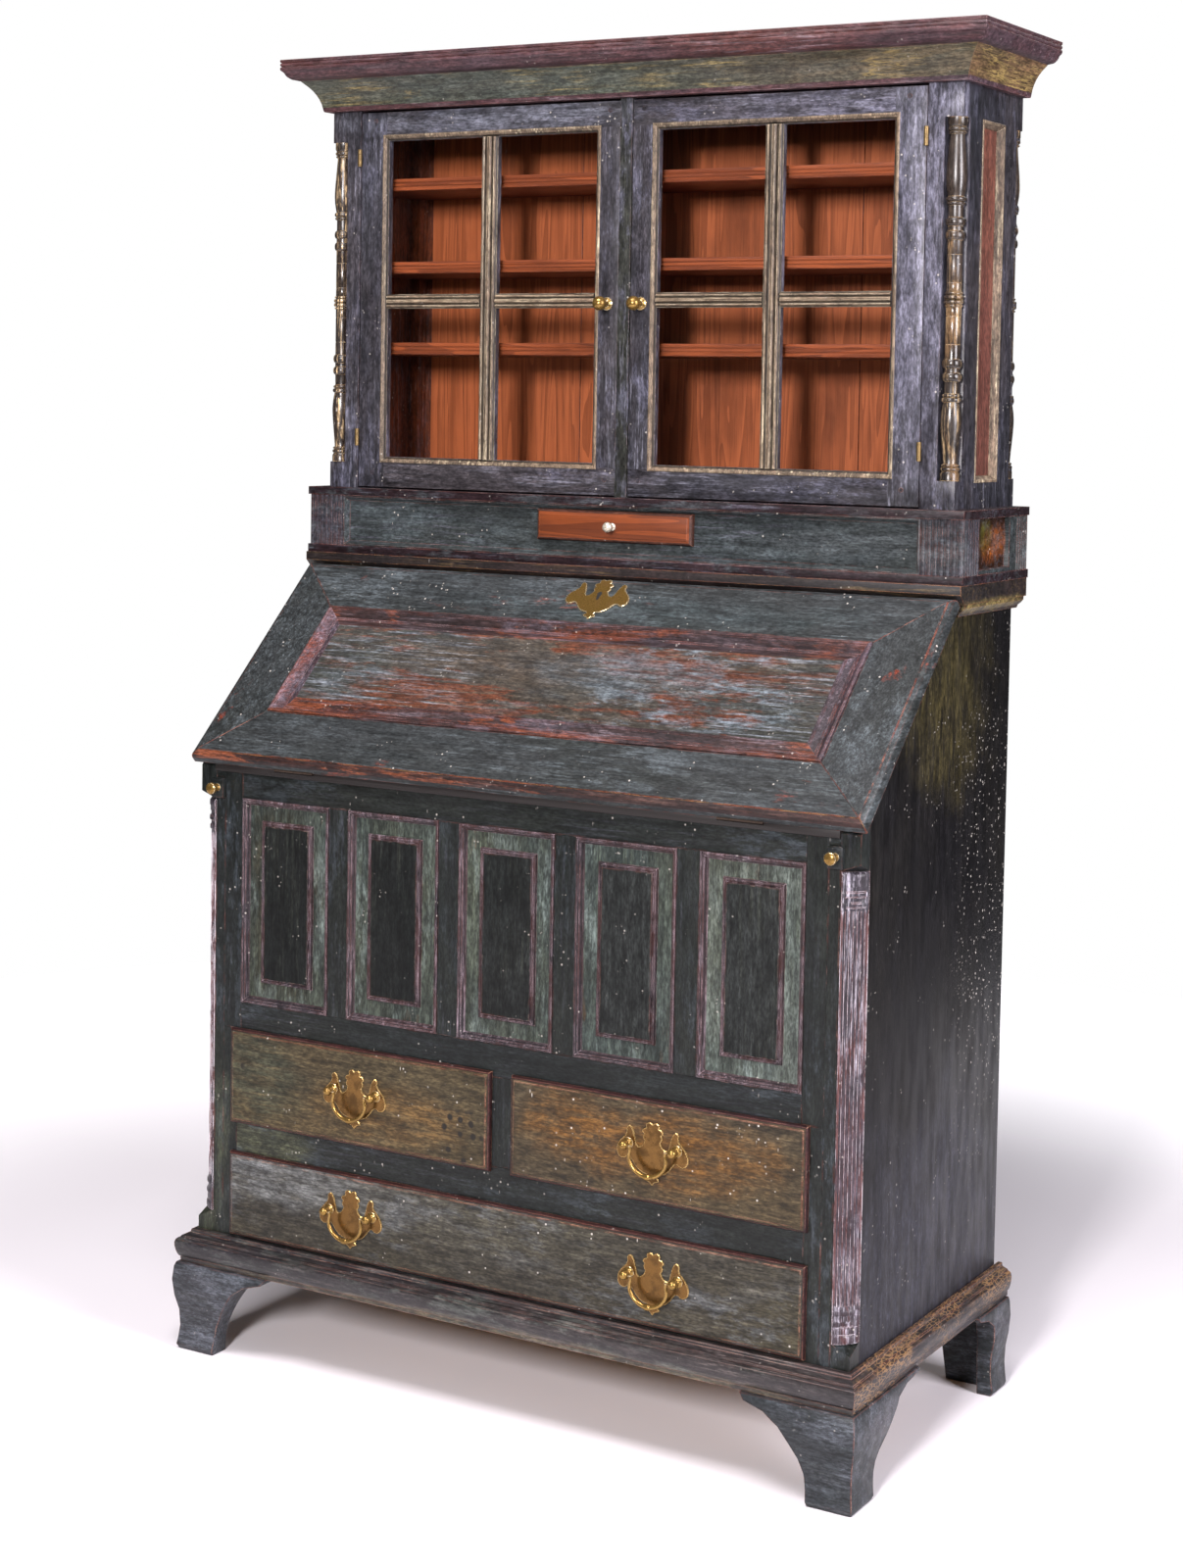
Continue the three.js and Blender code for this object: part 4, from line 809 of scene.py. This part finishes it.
def drawer(name, x, z, front, lip, proud, depth, wall, material, edge, slot):
    """A front whose lip has a thumbnail edge, on a box of thin boards."""
    thumbnail = [(0, 0.42), (0.06, 0.66), (0.2, 0.84), (0.4, 0.92), (0.66, 0.93), (0.68, 1)]
    steps = [
        (0, front - 0.3), *((proud * a, front - proud * b) for a, b in thumbnail),
        (proud * 0.8, front - proud - 0.5)]
    body = f"{name}_box"
    nested(
        f"{name}_front", (x[0] - lip, x[1] + lip), (z[0] - lip, z[1] + lip), steps, facing,
        f"{material} {edge}", body, slot, 0.15, 25, name, zones=[1] * 4 + [0] * 3)
    x0, x1, z0, z1 = x[0] + 1, x[1] - 1, z[0] + 1, z[1] - 7
    between, behind, back = (x0 + wall + 0.1, x1 - wall - 0.1), front + 18.1, depth - wall
    for part, wide, deep, tall, soften in (
        ("block", (x0, x1), (front, front + 18), (z0, z[1] - 1), 0.3),
        ("side_a", (x0, x0 + wall), (behind, depth), (z0, z1), 0.5),
        ("side_b", (x1 - wall, x1), (behind, depth), (z0, z1), 0.5),
        ("rear", between, (back, depth), (z0, z1), 0.5),
        ("floor", between, (behind, back - 0.1), (z0, z0 + wall * 0.9), 0)):
        block(f"{name}_{part}", wide, deep, tall, "bare", body, slot, soften)


front_boards()
front_panels()
for name, x, z, material in (
    ("upper_left", (-OPEN_HALF, -MID_STILE), UPPER_Z, "drawer_l"),
    ("upper_right", (MID_STILE, OPEN_HALF), UPPER_Z, "drawer_r"),
    ("lower", (-OPEN_HALF, OPEN_HALF), LOWER_Z, "drawer_b")):
    drawer(f"drawer_{name}", x, z, 0, 6.5, 8, 432, 9, material, "lip", "green_paint")
drawer("mid_drawer", (-114, 114), (1118.5, 1149.5), 263, 5.5, 9, 450, 6, "small", "red_mould", "red_wood")

# ---- Mouldings mitred round the case ------------------------------------------------------------


def three_sides(name, half, front, rear, profile, bold, materials, zones, replaces):
    """A moulding mitred round three sides. The second half of the materials is for its two returns."""
    corners = [(half, rear, 1, 0), (half, front, 1, -bold), (-half, front, -1, -bold), (-half, rear, -1, 0)]
    n, returns = len(profile), len(materials.split()) // 2
    points, faces, indices = [], [], []
    for x, y, dx, dy in corners:
        points += [at(x + out * dx, y + out * dy, z) for out, z in profile]
    for i in range(3):
        for k in range(n):
            m = (k + 1) % n
            faces.append((i * n + k, i * n + m, (i + 1) * n + m, (i + 1) * n + k))
            indices.append(zones[k] + (0 if i == 1 else returns))
    faces += [tuple(range(n))[::-1], tuple(3 * n + k for k in range(n))]
    mesh_piece(name, points, faces, materials, indices + [0, 0], "carcass", 0.3, 30, replaces)


BASE_PROFILE = [
    (0, 121), (14.5, 121), (14.5, 127.5), (16, 129), (17.4, 132), (18.6, 137), (19.6, 143), (19.7, 148),
    (18.6, 152), (16.6, 153.8), (14.8, 154.4), (13.6, 156.4), (11, 157.4), (8, 158.6), (6.4, 159.4),
    (6, 163), (5, 164), (0, 164)]
three_sides(
    "base_moulding_look", CASE_HALF, 0, 472, BASE_PROFILE, 1.4, "base base_side", [0] * 18,
    "base_moulding")
CORNICE_PROFILE = [
    (-26, 1705), (9.6, 1705), (10.4, 1708), (11, 1711), (12, 1716), (14, 1722), (16.8, 1728),
    (20.2, 1733.6), (24.4, 1738.8), (28.4, 1742.8), (31, 1745.4), (32, 1746.6), (40, 1748), (42.2, 1749.4),
    (44.6, 1751.4), (46.4, 1754), (47.4, 1756.4), (48.6, 1758), (50.4, 1759.4), (51.4, 1761.4),
    (51.2, 1764), (49.6, 1765.2), (51, 1766.2), (51.4, 1768), (50.8, 1769.6), (49.6, 1770.4),
    (51.2, 1771.4), (51.5, 1774.2), (50.8, 1775), (-26, 1775)]
three_sides(
    "cornice_look", 480, 274.5, 476, CORNICE_PROFILE, 1.17, "cornice fillet cornice_side fillet",
    [1] * 3 + [0] * 8 + [1] * 19, "cornice")
block("cornice_cover", (-470, 470), (280, 476), (1752, 1764), "bare", slot="green_paint", soften=0)

# ---- Fluted corner columns and colonnettes ------------------------------------------------------


def corner_column(side, label):
    """A strip on the chamfer, bulging in plan, with seven flutes that end in round stops, and rings."""
    (low, high), width, gap, flutes = COLUMN_Z, 26 * math.sqrt(2) - 2, 0.3, 7
    rise = [
        (0, 6.2), (3, 7), (8, 7), (11, 5), (13, 5.8), (17, 5.8), (20, 4.8), (22, 7), (25, 7), (28, 4.8),
        (33, 4.8), (35, 6.4), (38.6, 6.4), (41, 4.4)]
    drop = [
        (43.5, 4.4), (42, 6.4), (38, 6.4), (36.4, 4.8), (31, 4.8), (29.6, 7), (25, 7), (23.6, 5), (19, 5),
        (17.4, 6), (11, 6), (9.6, 7), (4, 7), (1.6, 5), (0.6, 2.5)]
    stops = [(t * 1.6, math.sqrt(min(1, t / 3.4))) for t in (0, 0.5, 1, 1.6, 2.4, 3.4, 5)]
    levels = [(low + up, bulge, 0) for up, bulge in rise]
    levels += [(low + 44 + up, 4.4, flute) for up, flute in stops]
    levels += [(high - 46 - down, 4.4, flute) for down, flute in reversed(stops)]
    levels += [(high - down, bulge, 0) for down, bulge in drop]
    count = flutes * 8

    def place(share, out, z):
        u, w = (share * width + 1) / math.sqrt(2), (out + gap) / math.sqrt(2)
        return at(side * (POST_IN + u + w), u - w, z)

    sections = []
    for z, bulge, flute in levels:
        row = []
        for share in (i / count for i in range(count + 1)):
            arch = bulge * (0.35 + 0.65 * math.sin(math.pi * share) ** 0.8)
            arch -= 1.9 * flute * max(0.0, math.sin(math.pi * ((share * flutes) % 1))) ** 0.6
            row.append(place(share, arch, z))
        sections.append(row + [place(1, 0, z), place(0, 0, z)])
    loft(f"column_{label}", sections, "column", "carcass", "dark_paint", 0, 42, f"corner_column_{label}")


def bead(radius, low, high, depth):
    """A half-round ring between two heights, as profile points."""
    middle, half = (low + high) / 2, (high - low) / 2
    turns = [-math.pi / 2 + k * math.pi / 6 for k in range(7)]
    return [(radius - depth + depth * math.cos(a), middle + half * math.sin(a)) for a in turns]


def colonnettes():
    """Four turned colonnettes, each the same above its middle as below it."""
    low, high, shaft = 1209.3, 1661.7, 9.7
    middle = (low + high) / 2
    upper = [
        (12.6, 0), *bead(12.7, 0.4, 5.6, 3), *bead(11.4, 6.2, 9.4, 2), (shaft, 10), (shaft, 20),
        (shaft - 0.5, 21), (shaft, 22), (shaft, 55), (shaft - 0.5, 56), (shaft, 57), (shaft, 73),
        *bead(12.4, 74, 85.6, 2.6), (shaft, 88), *bead(12.6, 91, 102, 2.8), (shaft - 0.3, 104),
        (shaft - 0.3, 117), *bead(12, 117.6, 121.6, 2), *bead(12.8, 122, 128, 2.4), (10.4, 129.4),
        (11.2, 133), (12.4, 141), (13, 150), (12.9, 156), (12.2, 168), (11, 182), (9.8, 196), (9.2, 204),
        *bead(11.6, 205.4, 208.6, 2), *bead(12.4, 209.2, 214, 2), (11, 215), (12.4, 217.6),
        (12.4, high - middle)]
    profile = [(r, -t) for r, t in reversed(upper[1:])] + upper
    for side, label in SIDES:
        for y, place, replaced in ((284.5, "front", f"colonnette_{label}"), (464, "rear", None)):
            lathe(
                f"colonnette_{place}_{label}", profile, (side * 468.5, y, middle), "z", 32, "turned",
                "carcass", "dark_paint", replaced)


for side, label in SIDES:
    corner_column(side, label)
colonnettes()

# ---- Brasses ------------------------------------------------------------------------------------

# Half of the batwing outline, from its top to its foot, as shares of its half width and half height.
BATWING = [
    (0, 0.94), (0.05, 0.99), (0.11, 1), (0.17, 0.96), (0.19, 0.89), (0.17, 0.82), (0.24, 0.8), (0.29, 0.74),
    (0.29, 0.67), (0.24, 0.62), (0.27, 0.55), (0.26, 0.47), (0.22, 0.4), (0.26, 0.28), (0.33, 0.19),
    (0.4, 0.17), (0.45, 0.24), (0.47, 0.36), (0.5, 0.5), (0.53, 0.64), (0.58, 0.76), (0.64, 0.81),
    (0.7, 0.78), (0.73, 0.7), (0.72, 0.6), (0.75, 0.5), (0.82, 0.4), (0.9, 0.3), (0.97, 0.17), (1, 0.02),
    (0.99, -0.12), (0.94, -0.22), (0.86, -0.28), (0.77, -0.27), (0.7, -0.2), (0.63, -0.2), (0.56, -0.3),
    (0.48, -0.44), (0.38, -0.56), (0.26, -0.63), (0.14, -0.66), (0.12, -0.72), (0.18, -0.77), (0.19, -0.84),
    (0.13, -0.88), (0.07, -0.9), (0, -1)]
PULL_SPREAD, PULL_RISE, PULL_FACE, PULL_REACH = 34, 9, -8.9, 13.7


def batwing(half_wide, half_tall):
    right = [(a * half_wide, b * half_tall) for a, b in BATWING]
    return right[::-1] + [(-a, b) for a, b in right[1:-1]]


def plate(name, outline, place, thick, edge, material, body, replaces=None):
    """A thin plate with a chamfered rim: place(a, b, out) puts the outline in the row frame."""
    inner = []
    for i, point in enumerate(outline):
        along_rim = Vector(outline[(i + 1) % len(outline)]) - Vector(outline[i - 1])
        inner.append(Vector(point) + Vector((-along_rim.y, along_rim.x)).normalized() * edge)
    rims = ((outline, 0), (outline, thick - edge), (inner, thick))
    sections = [[place(a, b, out) for a, b in rim] for rim, out in rims]
    loft(name, sections, material, body, "brass", 0, 30 if replaces else None, replaces)


def pull(name, x, z, body):
    """A batwing plate, two turned posts and the bail that hangs between them on its pins."""
    plate(
        f"pull_look_{name}", batwing(50, 39), lambda a, b, out: at(x + a, PULL_FACE - out, z + b), 1.6, 0.7,
        "plate_brass", body, f"pull_plate_{name}")
    post = [
        (0.01, -1), (7, -1.2), (7.4, -2.2), (6.6, -3.2), (5, -3.8), (3.6, -5.4), (3.4, -8), (4.6, -9.6),
        (5.7, -12), (6, -14), (5.7, -16), (4.6, -18.2), (2.8, -19.4), (1.2, -19.9), (0.01, -20)]
    axis_y, axis_z = PULL_FACE - PULL_REACH, z + PULL_RISE
    for side, label in ((-1, "a"), (1, "b")):
        centre = (x + side * PULL_SPREAD, PULL_FACE + 0.4, axis_z)
        lathe(f"pull_post_{name}_{label}", post, centre, "y", 20, "brass", body, "brass")
        pins = [Vector((x + side * t, axis_y, axis_z)) for t in (PULL_SPREAD - 9, PULL_SPREAD + 4)]
        tube(f"pull_pin_{label}_{name}", pins, (1.5, 1.5), f"bail_{name}")
    half = [
        (25.2, 0.6, 2.2), (24.4, -4, 2.1), (25.6, -10, 2.2), (25.4, -16, 2.4), (22.6, -22, 2.6),
        (17.6, -27.6, 2.8), (11, -31.8, 3), (5, -33.6, 3.2), (2.4, -34, 3.9), (0, -34.1, 4.1)]
    whole = half + [(-a, b, r) for a, b, r in half[-2::-1]]
    bail = curve_through([Vector((x + a, axis_y, axis_z + b, r)) for a, b, r in whole])
    tube(
        f"pull_ring_{name}", [v.xyz for v in bail], [v.w for v in bail], f"bail_{name}", f"pull_bail_{name}")


for side, label in SIDES:
    pull(f"upper_{label}", side * 223, 384, f"drawer_upper_{label}_box")
for side, label in SIDES:
    pull(f"lower_{label}", side * 227, 223, "drawer_lower_box")


def on_lock(out):
    """Where the fall's lock plate puts an outline, from a height over the fall's face."""
    return lambda a, b, o: on_fall(a, FALL_LENGTH - 42 + b, FALL_THICK + out + o)


KEYHOLE = [
    (2.6, 6), (3.3, 9.5), (2.6, 12.2), (0, 13.4), (-2.6, 12.2), (-3.3, 9.5), (-2.6, 6), (-1.6, -1),
    (1.6, -1)]
plate("fall_lock_plate", batwing(48, 36), on_lock(0.3), 1.6, 0.7, "brass", "fall", "fall_escutcheon")
# The keyhole is a near-black plate on the lock plate, painted shade standing for the hole.
plate("fall_keyhole", KEYHOLE, on_lock(1.7), 0.5, 0.2, "hole", "fall")

DOOR_KNOB = [
    (0.01, -0.3), (8.6, -0.3), (9, -1), (8.4, -2.2), (6.4, -3), (4.6, -4), (3.9, -6), (3.7, -9),
    (4.4, -11.4), (6.6, -13.4), (8.6, -16), (9.5, -19), (9.6, -21.6), (8.8, -24.6), (7, -27.2),
    (4.2, -29.2), (1.6, -29.9), (0.01, -30)]
SMALL_KNOB = [
    (0.01, -0.3), (5.4, -0.3), (5.2, -1.6), (3.4, -2.6), (2.7, -5), (3, -8), (5, -9.6), (6.6, -11.4),
    (7, -13.4), (6.4, -15.6), (4.8, -17.2), (2.2, -18.2), (0.01, -18.5)]
LOPER_KNOB = [
    (0.01, -0.3), (5.4, -0.3), (4.6, -2.6), (3.4, -4.4), (3.2, -7), (5.4, -8.8), (7.4, -10.4), (8, -12.6),
    (7.6, -14.8), (6, -16.2), (3, -16.9), (0.01, -17)]
for side, label in SIDES:
    lathe(
        f"door_knob_look_{label}", DOOR_KNOB, (side * 26, 275, 1432), "y", 32, "brass", f"door_{label}",
        "brass", f"door_knob_{label}")
    lathe(
        f"loper_knob_look_{label}", LOPER_KNOB, (side * 457, -6, 774), "y", 24, "brass",
        f"loper_{label}_slide", "brass", f"loper_knob_{label}")
lathe(
    "small_knob_look", SMALL_KNOB, (0, 253.4, 1134), "y", 24, "pale_knob", "mid_drawer_box", "brass",
    "mid_drawer_knob")

# ---- Door mouldings, side panels and back boards ------------------------------------------------


def door_mouldings(side, label):
    """The moulding round the glass, the reeded muntin bars and the pegs of the frame's joints."""
    body, slot = f"door_{label}", "blue_paint"
    steps = [
        (-0.2, 278.8), (-0.2, 274.4), (0.6, 273.6), (2, 273.5), (3, 274.2), (3.6, 275.6), (5.4, 276.6),
        (6.6, 278), (7.6, 278.9)]
    x = sorted((side * 40, side * 394))
    nested(f"door_moulding_{label}", x, (1210, 1670), steps, facing, "tan", body, slot, 0.2, 35, ring=True)
    half = [
        (13, 278.9), (11.8, 278.7), (11, 277.2), (9.8, 275.4), (8.4, 274.8), (7, 275.5), (6.2, 277.6),
        (4.4, 277.9), (3.5, 275.9), (1.8, 274.1)]
    bar = [(-u, y) for u, y in half] + half[::-1]
    middle = side * 218
    upright = [[at(middle + u, y, z) for u, y in bar] for z in (1218, 1662)]
    loft(f"door_bar_upright_{label}", upright, "tan", body, slot, 0, 40)
    low, high = sorted((side * 48, side * 386))
    for i, ends in enumerate(((low, middle - 13.2), (middle + 13.2, high))):
        level = [[at(x, y, 1437 + v * 10 / 13) for v, y in bar] for x in ends]
        loft(f"door_bar_level_{label}_{i + 1}", level, "tan_x", body, slot, 0, 40)
    for i, (across, up) in enumerate(((407, 1690), (407, 1196), (26, 1690), (26, 1196))):
        lathe(
            f"door_peg_{label}_{i + 1}", [(0.01, 0), (3.4, 0), (3.2, -0.5), (0.01, -0.6)],
            (side * across, 275, up), "y", 12, "peg", body, slot)


def side_panel(side, label):
    y, z, rim = (338, 414), (1206, 1664), 8.3
    steps = [
        (0, 474), (0, 480.6), (1.2, 481.2), (3, 481), (4.2, 479.6), (5.2, 477.4), (7.4, 475.2),
        (8.6, 472.6), (8.6, 471.4)]
    nested(
        f"side_moulding_{label}", y, z, steps, lambda a, b, depth: at(side * depth, a, b), "tan", "carcass",
        "blue_paint", 0.2, 35, ring=True)
    block(
        f"side_panel_{label}", sorted((side * 470.2, side * 471.6)), (y[0] + rim, y[1] - rim),
        (z[0] + rim, z[1] - rim), "side_panel", slot="blue_paint", soften=0.2)


def back_boards():
    """Upright boards of uneven width on the inside of the back."""
    edges = [-434, -318, -176, -52, 118, 262, 352, 434]
    for i, (low, high) in enumerate(zip(edges, edges[1:])):
        block(
            f"back_board_{i + 1}", (low + 0.8, high - 0.8), (460.6, 461.8), (1189.2, 1688.8), "boards",
            slot="blue_paint", soften=0.5)


def shelf_edges():
    """A strip with two grooves on the front edge of each shelf."""
    profile = [
        (303, 0.5), (301.6, 0.5), (301.2, 1.2), (301.2, 5), (302.4, 5.4), (302.4, 6.6), (301.2, 7),
        (301.2, 10), (302.4, 10.4), (302.4, 11.6), (301.2, 12), (301.2, 15.4), (301.6, 16.4), (303, 16.4)]
    for i, top in enumerate((1380, 1494, 1611)):
        sections = [[at(x, y, top - drop) for y, drop in profile] for x in (-435, 435)]
        loft(f"shelf_edge_{i + 1}", sections, "shelf_edge", "carcass", "red_wood", 0, 40)


for side, label in SIDES:
    door_mouldings(side, label)
    side_panel(side, label)
back_boards()
shelf_edges()

# ---- Floor, light and camera --------------------------------------------------------------------

FLOOR_RADIUS, FLOOR_CORNERS = 2.6, 96
turns = [2 * math.pi * i / FLOOR_CORNERS for i in range(FLOOR_CORNERS)]
rim = [(FLOOR_RADIUS * math.cos(t), FLOOR_RADIUS * math.sin(t), 0) for t in turns]
floor_mesh = bpy.data.meshes.new("floor")
floor_mesh.from_pydata(rim, [], [tuple(range(FLOOR_CORNERS))])
floor = bpy.data.objects.new("floor", floor_mesh)
scene.collection.objects.link(floor)
paper = Graph("floor_paper")
away = paper.vector("LENGTH", {0: paper.coord}, "Value")
# The floor glows, not at all within 1 m of the desk and more further out: painted light that keeps the floor
# white away from the desk.
paper.set(
    Base_Color=paper.mix(paper.noise(paper.coord, 0.5, 1), (0.80, 0.77, 0.82), (0.82, 0.80, 0.81)),
    Roughness=0.9, Emission_Color=(0.98, 0.98, 1.0), Emission_Strength=paper.span(away, 1.0, 2.2, 0.0, 0.8))
floor_mesh.materials.append(paper.material)

# The background is white where it is seen, and lights the object only a little.
world = bpy.data.worlds.new("studio")
scene.world = world
world.use_nodes = True
nodes, links = world.node_tree.nodes, world.node_tree.links
faint, white = nodes["Background"], nodes.new("ShaderNodeBackground")
faint.inputs["Color"].default_value, faint.inputs["Strength"].default_value = (0.93, 0.95, 1.0, 1), 0.05
white.inputs["Color"].default_value, white.inputs["Strength"].default_value = (1, 1, 1, 1), 1.0
either = nodes.new("ShaderNodeMixShader")
links.new(nodes.new("ShaderNodeLightPath").outputs["Is Camera Ray"], either.inputs[0])
links.new(faint.outputs[0], either.inputs[1])
links.new(white.outputs[0], either.inputs[2])
links.new(either.outputs[0], nodes["World Output"].inputs["Surface"])


def area_light(name, place, aim, size, power, colour):
    data = bpy.data.lights.new(name, "AREA")
    data.shape, data.size, data.size_y = "RECTANGLE", size[0], size[1]
    data.energy, data.color = power, colour
    obj = bpy.data.objects.new(name, data)
    obj.location = place
    obj.rotation_euler = (Vector(aim) - Vector(place)).to_track_quat("-Z", "Y").to_euler()
    scene.collection.objects.link(obj)


area_light("key", (1.0, -3.95, 2.1), (0, 0, 1.1), (0.55, 0.7), 216, (1.0, 0.95, 0.965))
area_light("side", (3.2, -0.6, 1.9), (0.2, 0.1, 0.9), (1.1, 2.0), 150, (0.98, 0.94, 1.0))
area_light("left", (-3.2, -2.8, 2.3), (0, 0, 0.9), (1.6, 2.2), 6, (0.96, 0.95, 1.0))
area_light("top", (0.2, -1.8, 4.2), (0, -0.1, 0.8), (2.0, 1.2), 165, (1.0, 0.95, 0.98))
area_light("rear", (0.6, 2.6, 3.2), (0, 0.2, 1.0), (2.4, 1.2), 20, (0.98, 0.98, 1.0))

# The lens shift is kept small enough for every other view to hold the whole object.
LENS, SENSOR, SHIFT_Y = 59.62, 36, -0.15
YAW, PITCH, ROLL = 0.5294, -0.0575, 0.0167
CAMERA_PLACE = at(1726.8, -2751.4, 1303.9)
cam_data = bpy.data.cameras.new("camera")
cam_data.lens, cam_data.sensor_width, cam_data.shift_y = LENS, SENSOR, SHIFT_Y
camera = bpy.data.objects.new("camera", cam_data)
scene.collection.objects.link(camera)
look = Vector((-math.sin(YAW) * math.cos(PITCH), math.cos(YAW) * math.cos(PITCH), math.sin(PITCH)))
right = Vector((math.cos(YAW), math.sin(YAW), 0))
up = right.cross(look)
right, up = (math.cos(ROLL) * right + math.sin(ROLL) * up, -math.sin(ROLL) * right + math.cos(ROLL) * up)
camera.matrix_world = Matrix.Translation(CAMERA_PLACE) @ Matrix((right, up, -look)).transposed().to_4x4()
scene.camera = camera
scene.view_settings.view_transform = "Standard"
